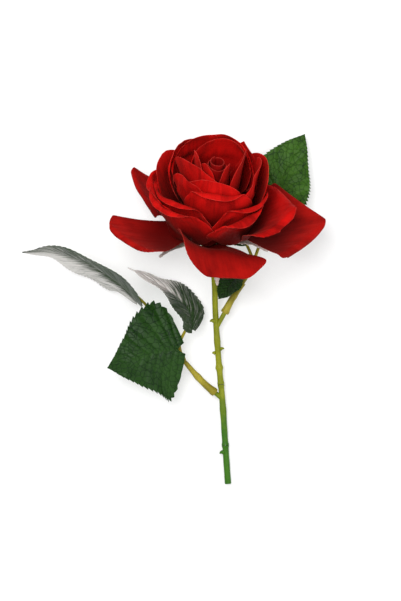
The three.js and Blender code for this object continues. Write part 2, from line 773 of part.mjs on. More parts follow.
// Leaves: middle line, width, roll about it at base and tip, and how far each half folds up
function leafFrame({ midrib, roll }) {
  const curve = curveThrough(midrib);
  return (v) => {
    const along = curve.getTangentAt(v);
    const flatSide = along.clone().cross(new THREE.Vector3(0, 0, 1)).normalize();
    const flatUp = flatSide.clone().cross(along).normalize();
    const turn = deg(lerp(roll[0], roll[1], v));
    const side = flatSide.clone().multiplyScalar(Math.cos(turn)).addScaledVector(flatUp, Math.sin(turn));
    const up = flatUp.multiplyScalar(Math.cos(turn)).addScaledVector(flatSide, -Math.sin(turn));
    return { point: curve.getPointAt(v), along, side, up };
  };
}

// Half width along a leaf as a share of its widest: a rise from the base, then a taper to the tip.
function leafOutline(v, { broad = 0.4, rise = 0.5, taper = 1.7 }) {
  if (v < broad) return Math.max(0.12, Math.sin((Math.PI / 2) * (v / broad)) ** rise);
  return Math.max(0.03, 1 - ((v - broad) / (1 - broad)) ** taper);
}

function leafSurface(leaf) {
  const { width, fold, heart = 1.5 } = leaf;
  const frame = leafFrame(leaf);
  return (u, v) => {
    const { point, along, side, up } = frame(v);
    const half = (width / 2) * leafOutline(v, leaf);
    return point
      .addScaledVector(along, -heart * Math.abs(u) ** 1.5 * (1 - v) ** 4)
      .addScaledVector(side, u * half * Math.cos(deg(fold)))
      .addScaledVector(up, Math.abs(u) * half * Math.sin(deg(fold)));
  };
}

// Leaf stalks: a sleeve that slips over a peg, and branches that run on as a spine under each leaf
function spineUnder(name, share) {
  const frame = leafFrame(LEAVES[name]);
  return [0.25, 0.6, 1].map((part) => {
    const { point, up } = frame(share * part);
    const below = LEAF_THICKNESS / 2 + CLEARANCE + lerp(PETIOLE_RADIUS, SPINE_TIP_RADIUS, part ** 0.8);
    return point.addScaledVector(up, -below - 0.15).toArray();
  });
}

function stalk(name, { socket, sleeve, branches }) {
  let solid = solidOf(
    rodGeometry(curveThrough(sleeve), (t) => lerp(SLEEVE_RADIUS, PETIOLE_RADIUS * 1.3, t), 5, 10),
  );
  for (const { lead, leaf, share } of branches) {
    const points = [...lead, ...spineUnder(leaf, share)];
    const radius = (t) => lerp(PETIOLE_RADIUS, SPINE_TIP_RADIUS, t ** 1.5);
    solid = solid.add(solidOf(rodGeometry(curveThrough(points), radius, points.length * 3, 8)));
  }
  solid = solid.subtract(peg(socket[0], socket[1], PEG_RADIUS + CLEARANCE));
  root.add(meshOf(name, geometryOfSolid(solid), COLOURS.stalk, 0.5));
}

const LEAF_ALONG = [0, 0.05, 0.14, 0.26, 0.4, 0.54, 0.68, 0.82, 0.93, 1];
for (const [name, leaf] of Object.entries(LEAVES)) {
  const grid = middleGrid(leafSurface(leaf), 6, LEAF_ALONG);
  root.add(meshOf(name, sheetGeometry(grid, LEAF_THICKNESS), COLOURS.leaf, 0.45));
}
for (const [name, parts] of Object.entries(STALKS)) stalk(name, parts);

root.add(bloom);
export default root;
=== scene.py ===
"""Artificial rose of crinkled, dyed petals on a wired stem, lying on its side on a pale table.

Sizes are in millimetres up to the point where a mesh is made. The bloom has a frame of its own: its
axis is local +Z, its front is local -Y, and azimuth is measured from the front towards +X.
"""
import math

import bpy
import numpy as np
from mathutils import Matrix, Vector


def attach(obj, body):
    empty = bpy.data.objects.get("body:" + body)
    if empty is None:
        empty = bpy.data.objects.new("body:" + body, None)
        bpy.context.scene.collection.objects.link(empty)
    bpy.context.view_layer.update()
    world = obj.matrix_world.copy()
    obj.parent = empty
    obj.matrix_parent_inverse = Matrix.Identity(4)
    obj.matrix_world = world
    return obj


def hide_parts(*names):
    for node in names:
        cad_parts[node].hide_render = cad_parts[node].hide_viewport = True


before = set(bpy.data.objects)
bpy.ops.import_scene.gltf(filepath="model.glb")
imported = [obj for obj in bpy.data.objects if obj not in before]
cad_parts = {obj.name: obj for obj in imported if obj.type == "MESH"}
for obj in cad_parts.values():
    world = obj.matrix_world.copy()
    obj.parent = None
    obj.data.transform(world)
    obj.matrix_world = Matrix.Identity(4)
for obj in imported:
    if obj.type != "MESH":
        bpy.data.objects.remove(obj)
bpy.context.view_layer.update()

MM = 0.001

# Driving dimensions, as in the solids
SETTLING_REACH = 7.0
PUSH_FADE = 0.4
CLEARANCE = 0.3
PETAL_THICKNESS = 0.4
PETAL_FOOT_HEIGHT = 0.1
LEAF_THICKNESS = 0.5
STEM_RADIUS_FOOT = 2.0
STEM_RADIUS_NECK = 1.75
PEG_RADIUS = 1.4
SLEEVE_RADIUS = 2.3
PETIOLE_RADIUS = 1.0
SPINE_TIP_RADIUS = 0.45
CUP_LENGTH = 14.0
SEPAL_DISC_RADIUS = 10.3
SEPAL_LENGTH = 25.0
SEPAL_WIDTH = 10.0
SEPAL_THICKNESS = 0.5
FLOOR_HEIGHT = -2.0
FLOOR_SIZE = 2500.0
SURROUND_LIGHT = 0.42
PHOTO_SIZE = (401, 601)
PIXEL = 0.6
STEM_FOOT_PIXEL = (228.4, 487)
CAMERA_HEIGHT = 1.2
FOCUS_HEIGHT = 0.02
MOULDED_GLOSS = 0.2
GRAIN_DEPTH = 0.3 * MM
VEIN_COUNT = 8.0
VEIN_SLANT = 2.1
VEIN_CURVE = 0.8
SEPAL_HEIGHT = -SEPAL_THICKNESS / 2 - CLEARANCE - 0.1
COIL_TURNS = 1.7
COIL_HEIGHT = 33.0

BLOOM_BASE = np.array([-9.8, 152.4, 28.0])
BLOOM_LIFT = 45.0
BLOOM_LEAN = 2.5

STEM_POINTS = [
    (0, 0, 0), (-1.7, 24.4, 1), (-3.5, 51.4, 2.5), (-5.9, 77.2, 4.5), (-7.7, 103.8, 7), (-8.6, 125.9, 11),
]
SECTION_ENDS = (0.165, 0.425)
PEGS = {
    "left": ((-4.2, 52.6, 2.9), (-13.3, 60.4, 5.2)),
    "right": ((-7, 95.6, 6.2), (3.1, 114, 8.4)),
}
SEPALS = [(-66, 108), (6, 118), (78, 104), (150, 100), (222, 104)]

# Where a leaf has a tuple of painted glare, it sets the pale reflection painted at its tip, along its low
# side and by its midrib.
LEAVES = {
    "leaf_left_long": dict(
        midrib=[
            (-55, 110.6, 14), (-63, 119.6, 21), (-82, 132.6, 26), (-104, 140.6, 26), (-123.5, 140.9, 21),
        ],
        width=46, roll=(76, 73), fold=5, heart=2.5, teeth=30, painted_glare=(0.4, 0.7, 0.1),
    ),
    "leaf_left_middle": dict(
        midrib=[
            (-21.4, 94.2, 15), (-23.3, 104.9, 18), (-32.5, 115.2, 20), (-45, 123.4, 21), (-60.4, 131.4, 20),
        ],
        width=36, roll=(-58, -84), fold=5, broad=0.3, teeth=24, painted_glare=(1.3, 0.15, 0.4),
    ),
    "leaf_left_front": dict(
        midrib=[(-30, 82.5, 18), (-43.4, 80.5, 21), (-57, 76, 24), (-72.5, 71.5, 21)],
        width=60, roll=(2, 0), fold=-8, heart=4.5, broad=0.26, rise=0.7, taper=1.12, teeth=20, puff=0.14,
    ),
    "leaf_right_top": dict(
        midrib=[(22.5, 154, 6), (29, 176, 5.5), (35, 192, 5), (46.6, 213, 5)],
        width=40, roll=(12, 16), fold=6, teeth=30,
    ),
    "leaf_right_small": dict(
        midrib=[(5.4, 127, 14.5), (0, 120, 17), (-5.8, 112.8, 18)],
        width=20, roll=(-50, -50), fold=6, teeth=12,
    ),
    "leaf_right_hidden": dict(
        midrib=[(11, 147, 4.6), (3, 159, 2.4), (-8, 172, 1.2)],
        width=20, roll=(0, 0), fold=2, teeth=14,
    ),
}

STALKS = {
    "leaf_stalk_left": dict(
        sleeve=[(-7.9, 55.8, 3.8), (-13.3, 60.4, 5.2), (-18.8, 66, 6.4), (-26, 74.5, 8)],
        branches=[
            dict(
                lead=[(-24, 72, 7.6), (-31, 81, 8.6), (-42, 98, 9), (-49.5, 109, 12)],
                leaf="leaf_left_long", share=0.5,
            ),
            dict(lead=[(-27.5, 76.5, 8.2), (-29.5, 85, 9)], leaf="leaf_left_middle", share=0.45),
            dict(lead=[(-26, 74.5, 8), (-28, 79, 10)], leaf="leaf_left_front", share=0.45),
        ],
    ),
    "leaf_stalk_right": dict(
        sleeve=[(-2.2, 104.4, 7.2), (3.1, 114, 8.4), (9.4, 122.4, 9)],
        branches=[
            dict(lead=[(8, 121, 9), (13.5, 130, 8.4), (17.4, 141, 6.4)], leaf="leaf_right_top", share=0.5),
            dict(lead=[(10.5, 124.5, 8.8), (9.4, 128.4, 10)], leaf="leaf_right_small", share=0.5),
            dict(lead=[(14.6, 133, 7.4), (14, 139.5, 5)], leaf="leaf_right_hidden", share=0.5),
        ],
    ),
}


def lip(depth, radius, turn):
    return dict(toward=0, depth=depth, radius=radius, turn=turn)


def corners(toward, depth, radius, turn):
    return [dict(toward=angle, depth=depth, radius=radius, turn=turn) for angle in (toward, -toward)]


def sides(toward, start, radius, turn):
    return [dict(toward=angle, start=start, radius=radius, turn=turn) for angle in (toward, -toward)]


# foot is the radius a petal starts at, rim the (radius, height) where its middle line ends, lean its
# angles off the bloom's axis at both ends, and cup the radius across at base, middle and rim.
PETALS = {
    "heart_petal_left": dict(
        azimuth=-62, foot=4.2, rim=(6.6, 56), lean=(14, 0),
        width=22, cup=(4, 12, 24), tilt=8,
    ),
    "heart_petal_right": dict(
        azimuth=57, foot=4.2, rim=(7.4, 56.5), lean=(14, 2),
        width=24, cup=(4, 12, 20), tilt=8,
    ),
    "heart_petal_back": dict(
        azimuth=178, foot=4.2, rim=(8.5, 50), lean=(14, 0),
        width=24, cup=(4, 10, 12), tilt=8,
    ),
    "inner_petal_left": dict(
        azimuth=-74, foot=5.1, rim=(9.8, 57), lean=(22, 2),
        width=30, cup=(5, 16, 40), sway=-9,
    ),
    "inner_petal_right": dict(
        azimuth=73, foot=5.1, rim=(13.5, 56), lean=(26, 4),
        width=40, cup=(5, 16, 60), sway=10, drop=0.2,
    ),
    "inner_petal_back": dict(
        azimuth=180, foot=5.1, rim=(20, 54), lean=(34, 2),
        width=44, cup=(5, 14, 18), drop=0.25,
    ),
    "inner_petal_front": dict(
        azimuth=-47, foot=5.1, rim=(10.6, 54), lean=(24, 2),
        width=52, cup=(5, 18, 42), tilt=9, sway=-9, drop=0.2,
    ),
    "cup_petal_front": dict(
        azimuth=-11, foot=6, rim=(12.4, 51.5), lean=(30, 0),
        width=40, cup=(6, 18, 60), drop=0.16,
    ),
    "cup_petal_left": dict(
        azimuth=-43, foot=6, rim=(16.3, 48), lean=(30, 2),
        width=38, cup=(6, 18, 60), sway=-9, drop=0.24,
    ),
    "cup_petal_back": dict(
        azimuth=182, foot=6, rim=(24, 55.5), lean=(44, 0),
        width=56, cup=(6, 18, 21),
    ),
    "cup_petal_right": dict(
        azimuth=77, foot=6, rim=(24, 51), lean=(40, 6),
        width=46, cup=(6, 20, 28), sway=10, drop=0.26,
    ),
    "cup_petal_back_left": dict(
        azimuth=-142, foot=6, rim=(30, 51), lean=(46, 8),
        width=46, cup=(6, 20, 30),
    ),
    "mid_petal_front": dict(
        azimuth=2, foot=7, rim=(15.5, 51), lean=(32, -2), fall=10,
        width=40, cup=(7, 18, 60), drop=0.16,
        rolls=[lip(7, 2.4, 150)],
    ),
    "mid_petal_back_right": dict(
        azimuth=145, foot=7, rim=(28, 46), lean=(54, 4), fall=10,
        width=34, point=0.12, cup=(7, 24, 40),
    ),
    "mid_petal_back": dict(
        azimuth=-170, foot=7, rim=(33, 40), lean=(58, 6), fall=10,
        width=48, cup=(7, 26, 36),
    ),
    "mid_petal_right": dict(
        azimuth=110, foot=7, rim=(31, 50), lean=(56, 4), fall=10,
        width=44, cup=(7, 24, 30), drop=0.26,
    ),
    "mid_petal_back_left": dict(
        azimuth=-120, foot=7, rim=(36, 45), lean=(60, 16), fall=10,
        width=44, cup=(7, 24, 40),
    ),
    "rolled_petal_left_inner": dict(
        azimuth=-53, foot=8.1, rim=(20, 45), lean=(40, 2), fall=15,
        width=40, cup=(8, 17, 60), tilt=-12, sway=-4, drop=0.2,
        rolls=[lip(10, 4, 120)],
    ),
    "mid_petal_left": dict(
        azimuth=-94, foot=8.1, rim=(25, 43), lean=(42, 6), fall=10,
        width=34, cup=(7, 22, 40), tilt=15,
        rolls=[lip(7, 3, 80)],
    ),
    "rolled_petal_right_inner": dict(
        azimuth=40, foot=8.1, rim=(21.5, 43), lean=(40, 2), fall=15,
        width=40, cup=(8, 18, 70), tilt=8, sway=5, drop=0.2,
        rolls=[lip(6, 2, 140)],
    ),
    "rolled_petal_left_outer": dict(
        azimuth=-46, foot=9.2, rim=(27, 42), lean=(46, 10), fall=5,
        width=44, cup=(9, 22, 50), tilt=-6, sway=-7, drop=0.24,
        rolls=[lip(8, 3.2, 130)],
    ),
    "rolled_petal_right_outer": dict(
        azimuth=37, foot=9.2, rim=(30, 39), lean=(46, 20), fall=8,
        width=40, cup=(9, 22, 50), tilt=6, sway=0, drop=0.26,
        rolls=[lip(8, 3.2, 130)],
    ),
    "rolled_petal_far_right": dict(
        azimuth=78, foot=9.2, rim=(48, 31), lean=(56, 54), fall=40,
        width=50, cup=(9, 30, 60),
        rolls=corners(38, 7, 2.5, 150),
    ),
    "outer_petal_front": dict(
        azimuth=2, foot=10.4, rim=(46, 4), lean=(44, 132), reach=0.6, fall=40,
        width=58, claw=5, cup=(14, 60, 90), tilt=-27, sway=7, drop=0.28,
        rolls=[lip(4, 1.6, 170)],
    ),
    "outer_petal_right": dict(
        azimuth=91, foot=10.4, rim=(67, 12), lean=(88, 80), fall=70,
        width=66, cup=(12, 60, 90),
        rolls=corners(42, 8.3, 2.4, 165),
    ),
    "outer_petal_back_right": dict(
        azimuth=171, foot=10.4, rim=(47, 8), lean=(84, 92), fall=60,
        width=40, cup=(12, 50, 70),
    ),
    "outer_petal_back_left": dict(
        azimuth=-152, foot=10.4, rim=(48, 8), lean=(84, 92), fall=60,
        width=42, cup=(12, 50, 70),
    ),
    "outer_petal_upper_left": dict(
        azimuth=-124, foot=10.4, rim=(58, 21), lean=(70, 64), fall=50,
        width=46, cup=(12, 40, 60),
        rolls=sides(63, 11.5, 1.8, 165),
    ),
    "outer_petal_left": dict(
        azimuth=-78, foot=10.4, rim=(62, 14), lean=(84, 66), fall=60,
        width=54, claw=4, cup=(12, 40, 40), drop=0.5,
        rolls=[
            dict(toward=-90, start=9, radius=2, turn=150),
            dict(toward=38, depth=8, radius=1.6, turn=190),
        ],
    ),
}


# Numbers and lines
def lerp(a, b, t):
    return a + (b - a) * t


def unit(v):
    return v / np.maximum(np.linalg.norm(v, axis=-1, keepdims=True), 1e-12)


def smooth_step(low, high, x):
    t = np.clip((x - low) / (high - low), 0, 1)
    return t * t * (3 - 2 * t)


def spline_weights(values, knots):
    """Rows of weights that read a smooth curve through equally spaced knots at the given places."""
    weights = np.zeros((len(values), knots))
    for row, value in zip(weights, np.clip(values, 0, knots - 1)):
        i = min(int(value), knots - 2)
        t = value - i
        shares = (
            (-t + 2 * t**2 - t**3) / 2,
            (2 - 5 * t**2 + 3 * t**3) / 2,
            (t + 4 * t**2 - 3 * t**3) / 2,
            (-(t**2) + t**3) / 2,
        )
        for k, share in zip(range(i - 1, i + 3), shares):
            row[min(max(k, 0), knots - 1)] += share
    return weights


class Line:
    """A line known by many points, read by its share of length."""

    def __init__(self, samples):
        self.samples = np.asarray(samples, float)
        steps = np.linalg.norm(np.diff(self.samples, axis=0), axis=1)
        covered = np.concatenate([[0], np.cumsum(steps)])
        self.length = covered[-1]
        self.shares = covered / covered[-1]
        self.ways = unit(np.gradient(self.samples, covered, axis=0))

    def _read(self, table, share):
        share = np.asarray(share, float)
        return np.stack([np.interp(share, self.shares, column) for column in table.T], axis=-1)

    def at(self, share):
        return self._read(self.samples, share)

    def way(self, share):
        return unit(self._read(self.ways, share))


def line_through(points, steps=80):
    """Smooth line through points, its knots spaced by the root of their distance."""
    points = [np.asarray(p, float) for p in points]
    points = [2 * points[0] - points[1], *points, 2 * points[-1] - points[-2]]
    samples = []
    for p0, p1, p2, p3 in zip(points, points[1:], points[2:], points[3:]):
        d0, d1, d2 = (np.linalg.norm(b - a) ** 0.5 for a, b in ((p0, p1), (p1, p2), (p2, p3)))
        start = ((p1 - p0) / d0 - (p2 - p0) / (d0 + d1) + (p2 - p1) / d1) * d1
        end = ((p2 - p1) / d1 - (p3 - p1) / (d1 + d2) + (p3 - p2) / d2) * d1
        t = np.linspace(0, 1, steps, endpoint=False)[:, None]
        samples.append(
            p1 + start * t + (3 * (p2 - p1) - 2 * start - end) * t**2 + (2 * (p1 - p2) + start + end) * t**3
        )
    samples.append(points[-2][None])
    return Line(np.concatenate(samples))


def bloom_to_world(points):
    """Places points of the bloom's own frame in the part's frame."""
    tip, lean = math.radians(-(90 - BLOOM_LIFT)), math.radians(BLOOM_LEAN)
    about_y = np.array([[math.cos(lean), 0, math.sin(lean)], [0, 1, 0], [-math.sin(lean), 0, math.cos(lean)]])
    about_x = np.array([[1, 0, 0], [0, math.cos(tip), -math.sin(tip)], [0, math.sin(tip), math.cos(tip)]])
    return np.asarray(points) @ (about_x @ about_y).T + BLOOM_BASE


# Petal shape
def flat_petal(petal, length, u, v):
    """Outline of a petal laid flat: across and along, for u from -1 to 1 and v from 0 to 1."""
    widest, claw = 0.62, petal.get("claw", 2.2)
    swell = np.where(
        v < widest,
        np.sin((math.pi / 2) * np.minimum(v / widest, 1)) ** 2,
        1 - 0.28 * ((v - widest) / (1 - widest)) ** 2,
    )
    half = lerp(claw, petal["width"] / 2, swell)
    fall = petal.get("drop", 0.34) * (1 - np.sqrt(1 - 0.96 * u * u))
    fall = fall - petal.get("point", 0) * (1 - abs(u)) ** 2
    return half * u, length * (v - fall * v**3)


def roll_edge(roll, length, x, y, z):
    """Turns back what lies beyond a line across the petal, in a roll of the given radius."""
    nx, ny = math.sin(math.radians(roll["toward"])), math.cos(math.radians(roll["toward"]))
    start = roll["start"] if "start" in roll else length / 2 - roll["depth"]
    beyond = np.maximum(x * nx + (y - length / 2) * ny - start, 0)
    angle = np.minimum(beyond / roll["radius"], math.radians(roll["turn"]))
    rest = beyond - angle * roll["radius"]
    in_plane = roll["radius"] * np.sin(angle) + rest * np.cos(angle)
    down = roll["radius"] * (1 - np.cos(angle)) + rest * np.sin(angle)
    return x - nx * (beyond - in_plane), y - ny * (beyond - in_plane), z - down


def petal_spine(foot, rim, lean, reach=0.38):
    """Middle line of a petal in the plane through the bloom's axis."""
    foot, rim = np.array(foot, float), np.array(rim, float)
    handle = reach * np.linalg.norm(rim - foot)
    start, end = (handle * np.array([math.sin(math.radians(a)), math.cos(math.radians(a))]) for a in lean)
    t = np.linspace(0, 1, 400)[:, None]
    near_foot = foot * (1 - t) ** 3 + 3 * (foot + start) * t * (1 - t) ** 2
    return Line(near_foot + 3 * (rim - end) * t**2 * (1 - t) + rim * t**3)


def petal_line(petal):
    foot = (petal["foot"], PETAL_FOOT_HEIGHT)
    return petal_spine(foot, petal["rim"], petal["lean"], petal.get("reach", 0.38))


def petal_surface(petal, u, v):
    """Points of a petal before it settles against the others, in the bloom's frame."""
    spine = petal_line(petal)
    length = spine.length
    x, y = flat_petal(petal, length, u, v)
    z = np.zeros_like(x)
    for roll in petal.get("rolls", []):
        x, y, z = roll_edge(roll, length, x, y, z)
    share = np.clip(y / length, 0, 1)
    middle, way = spine.at(share), spine.way(share)
    over = y - share * length
    radius = (spline_weights(share.ravel() * 2, 3) @ np.array(petal["cup"], float)).reshape(share.shape)
    across = (radius - z) * np.sin(x / radius)
    inward = radius - (radius - z) * np.cos(x / radius)
    turn = math.radians(petal.get("tilt", 0)) * np.minimum(1, 3 * share)
    aside = across * np.cos(turn) - inward * np.sin(turn) + petal.get("sway", 0) * share**2
    up = across * np.sin(turn) + inward * np.cos(turn)
    return in_azimuth(
        petal["azimuth"],
        middle[..., 0] + way[..., 0] * over - way[..., 1] * up,
        aside,
        middle[..., 1] + way[..., 1] * over + way[..., 0] * up,
    )


def in_azimuth(azimuth, outward, aside, height):
    """Points given by how far out, aside and up they lie from the axis at an azimuth."""
    a = math.radians(azimuth)
    return np.stack(
        [
            outward * math.sin(a) + aside * math.cos(a),
            -outward * math.cos(a) + aside * math.sin(a),
            height,
        ],
        axis=-1,
    )


# Settling: each petal is pushed outwards until it clears all that were glued on before it.
def facets_of(grid):
    rows, columns = grid.shape[:2]
    flat = grid.reshape(-1, 3)
    j, i = (a.ravel() for a in np.mgrid[0 : rows - 1, 0 : columns - 1])
    k = j * columns + i
    slots = np.concatenate(
        [
            np.stack([k, k + 1, k + columns + 1], axis=1),
            np.stack([k, k + columns + 1, k + columns], axis=1),
        ]
    )
    a, b, c = (flat[slots[:, k]] for k in range(3))
    centre = (a + b + c) / 3
    size = np.max([np.linalg.norm(centre - p, axis=1) for p in (a, b, c)], axis=0)
    normal = np.cross(b - a, c - a)
    return dict(a=a, ab=b - a, ac=c - a, normal=normal, centre=centre, size=size, slots=slots)


def push_direction(points, fall):
    out = unit(points * [1, 1, 0]) * math.cos(math.radians(fall))
    out[..., 2] -= math.sin(math.radians(fall))
    return out


def crossings(points, fall, facets):
    """Where the points' lines of push meet facets nearby: which point, which facet, how far, how squarely."""
    near = SETTLING_REACH + facets["size"]
    apart = ((points[:, None, :] - facets["centre"][None]) ** 2).sum(axis=-1)
    p, f = np.nonzero(apart <= near[None] ** 2)
    direction, normal = push_direction(points[p], fall), facets["normal"][f]
    facing = (normal * direction).sum(axis=-1)
    facing = np.where(abs(facing) < 1e-9, np.nan, facing)
    distance = ((facets["a"][f] - points[p]) * normal).sum(axis=-1) / facing
    hit = points[p] + direction * distance[:, None] - facets["a"][f]
    area = (normal**2).sum(axis=-1)
    s = (normal * np.cross(facets["ab"][f], hit)).sum(axis=-1) / area
    t = (normal * np.cross(hit, facets["ac"][f])).sum(axis=-1) / area
    met = (s >= -0.05) & (t >= -0.05) & (s + t <= 1.05)
    squareness = np.maximum(abs(facing) / np.sqrt(area), 0.6)
    return p[met], f[met], distance[met], squareness[met]


def joined(facet_lists):
    return {key: np.concatenate([facets[key] for facets in facet_lists]) for key in facet_lists[0]}


def settle(grid, fall, earlier):
    """Pushes a coarse grid of points clear of the sheets already in place."""
    if not earlier:
        return grid
    pitch = PETAL_THICKNESS + 0.7 * CLEARANCE
    others = joined([sheet["facets"] for sheet in earlier])
    points_of_others = np.concatenate([sheet["points"] for sheet in earlier])
    flat = grid.reshape(-1, 3).copy()
    first_row = grid.shape[1]
    for _ in range(6):
        need = np.zeros(len(flat))
        own = facets_of(flat.reshape(grid.shape))
        p, _f, distance, squareness = crossings(flat, fall, others)
        ask = (distance > -2 * pitch) & (distance < SETTLING_REACH)
        np.maximum.at(need, p[ask], (distance + pitch / squareness)[ask])
        p, _f, distance, squareness = crossings(own["centre"], fall, others)
        ask = (distance > -2 * pitch) & (distance < SETTLING_REACH)
        for k in range(3):
            np.maximum.at(need, own["slots"][p[ask], k], (distance + pitch / squareness)[ask])
        p, f, distance, squareness = crossings(points_of_others, fall, own)
        reach = np.minimum(SETTLING_REACH, 0.9 * np.hypot(points_of_others[p, 0], points_of_others[p, 1]))
        ask = (distance < 2 * pitch) & (distance > -reach)
        for k in range(3):
            np.maximum.at(need, own["slots"][f[ask], k], (pitch / squareness - distance)[ask])
        apart = np.linalg.norm(flat[:, None] - flat[None], axis=-1)
        spread = np.where(need[None] > 0, need[None] - PUSH_FADE * apart, 0)
        pushes = np.maximum(spread.max(axis=1), 0)
        pushes[:first_row] = 0
        if pushes.max() < 0.02:
            break
        flat += pushes[:, None] * push_direction(flat, fall)
    return flat.reshape(grid.shape)


def in_place(grid):
    facets = facets_of(grid)
    return dict(facets=facets, points=np.concatenate([grid.reshape(-1, 3), facets["centre"]]))


COARSE_ALONG = np.array([0, 0.16, 0.32, 0.47, 0.6, 0.71, 0.8, 0.88, 0.94, 1])
COARSE_ACROSS = 8


def settled_shift(surface, along, across, fall, earlier):
    """How far settling moves a coarse grid of the surface, and what it leaves for later sheets."""
    u, v = np.meshgrid(np.linspace(-1, 1, across + 1), along)
    plain = surface(u, v)
    settled = settle(plain, fall, earlier)
    return settled - plain, in_place(settled)


def spread_shift(shift, along, u, v):
    """Reads the coarse shift smoothly at the rows v and columns u of a fine grid."""
    rows = spline_weights(np.interp(v, along, np.arange(len(along))), len(along))
    columns = spline_weights((u + 1) / 2 * (shift.shape[1] - 1), shift.shape[1])
    return np.einsum("rj,jik,ci->rck", rows, shift, columns)


# Meshes
def normals_of(grid):
    across = np.gradient(grid, axis=1)
    along = np.gradient(grid, axis=0)
    return unit(np.cross(across, along))


def add_object(name, vertices, faces, materials):
    mesh = bpy.data.meshes.new(name)
    mesh.from_pydata((np.asarray(vertices) * MM).tolist(), [], faces)
    for material in materials:
        mesh.materials.append(material)
    mesh.shade_smooth()
    piece = bpy.data.objects.new(name, mesh)
    bpy.context.collection.objects.link(piece)
    return piece


def store(mesh, name, values):
    mesh.attributes.new(name, "FLOAT", "POINT").data.foreach_set("value", np.asarray(values, float).ravel())


def sheet_object(name, grid, thickness, layers, materials, flat):
    """Closed thin sheet about a grid of middle points. Its upper face is the side that normals point to.

    layers holds values per grid point, flat the point's place on the flat cut, in millimetres.
    """
    rows, columns = grid.shape[:2]
    normals = normals_of(grid)
    half = np.broadcast_to(np.asarray(thickness, float) / 2, (rows, columns))[..., None]
    upper = (grid + normals * half).reshape(-1, 3)
    lower = (grid - normals * half).reshape(-1, 3)
    count = rows * columns
    j, i = (a.ravel() for a in np.mgrid[0 : rows - 1, 0 : columns - 1])
    k = j * columns + i
    top = np.stack([k, k + 1, k + 1 + columns, k + columns], axis=1)
    under = top[:, ::-1] + count
    rim = (
        [i for i in range(columns - 1)]
        + [j * columns + columns - 1 for j in range(rows - 1)]
        + [(rows - 1) * columns + i for i in range(columns - 1, 0, -1)]
        + [j * columns for j in range(rows - 1, 0, -1)]
    )
    edge = np.array([(a, a + count, b + count, b) for a, b in zip(rim, rim[1:] + rim[:1])])
    faces = np.concatenate([top, under, edge])
    piece = add_object(name, np.concatenate([upper, lower]), faces.tolist(), materials)
    mesh = piece.data
    if len(materials) > 1:
        slots = np.concatenate([np.zeros(len(top)), np.ones(len(under)), np.zeros(len(edge))])
        mesh.polygons.foreach_set("material_index", slots.astype(int))
    for key, values in layers.items():
        values = np.broadcast_to(values, (rows, columns)).ravel()
        store(mesh, key, np.concatenate([values, values]))
    uv = mesh.uv_layers.new(name="flat_cut")
    place = np.tile(np.stack([flat[0].ravel(), flat[1].ravel()], axis=1) * 0.01, (2, 1))
    corners_at = np.zeros(len(mesh.loops), dtype=int)
    mesh.loops.foreach_get("vertex_index", corners_at)
    uv.data.foreach_set("uv", place[corners_at].ravel())
    mesh.set_sharp_from_angle(angle=math.radians(55))
    return piece


def rod_tree():
    """Geometry nodes that turn lines of points, each with its rod_radius, into closed ridged rods."""
    tree = bpy.data.node_groups.new("rods_along_paths", "GeometryNodeTree")
    kinds = {"Geometry": "Geometry", "Around": "Int", "Ridges": "Float", "Ridge Depth": "Float"}
    for label, kind in {**kinds, "Material": "Material"}.items():
        tree.interface.new_socket(label, in_out="INPUT", socket_type=f"NodeSocket{kind}")
    tree.interface.new_socket("Geometry", in_out="OUTPUT", socket_type="NodeSocketGeometry")
    nodes = Nodes(tree)
    given = nodes.add("NodeGroupInput").outputs
    radius = nodes.add("GeometryNodeInputNamedAttribute", {"Name": "rod_radius"}, data_type="FLOAT")
    paths = nodes.add("GeometryNodeMeshToCurve", {"Mesh": given["Geometry"]}).outputs["Curve"]
    circle = nodes.add("GeometryNodeCurvePrimitiveCircle", {"Resolution": given["Around"], "Radius": 1.0})
    turn = nodes.math("MULTIPLY", nodes.add("GeometryNodeSplineParameter").outputs["Factor"], 2 * math.pi)
    wave = nodes.math("COSINE", nodes.math("MULTIPLY", turn, given["Ridges"]))
    swell = nodes.math("ADD", nodes.math("MULTIPLY", wave, given["Ridge Depth"]), 1.0)
    at = nodes.add("GeometryNodeInputPosition").outputs["Position"]
    ridged = nodes.add("ShaderNodeVectorMath", {0: at, "Scale": swell}, operation="SCALE").outputs["Vector"]
    profile = nodes.add("GeometryNodeSetPosition", {"Geometry": circle.outputs["Curve"], "Position": ridged})
    rods = nodes.add(
        "GeometryNodeCurveToMesh",
        {
            "Curve": paths, "Profile Curve": profile.outputs["Geometry"],
            "Scale": radius.outputs["Attribute"], "Fill Caps": True,
        },
    ).outputs["Mesh"]
    rods = nodes.add("GeometryNodeRealizeInstances", {"Geometry": rods}).outputs["Geometry"]
    rods = nodes.add(
        "GeometryNodeSetMaterial", {"Geometry": rods, "Material": given["Material"]}
    ).outputs["Geometry"]
    nodes.add("NodeGroupOutput", {"Geometry": rods})
    return tree


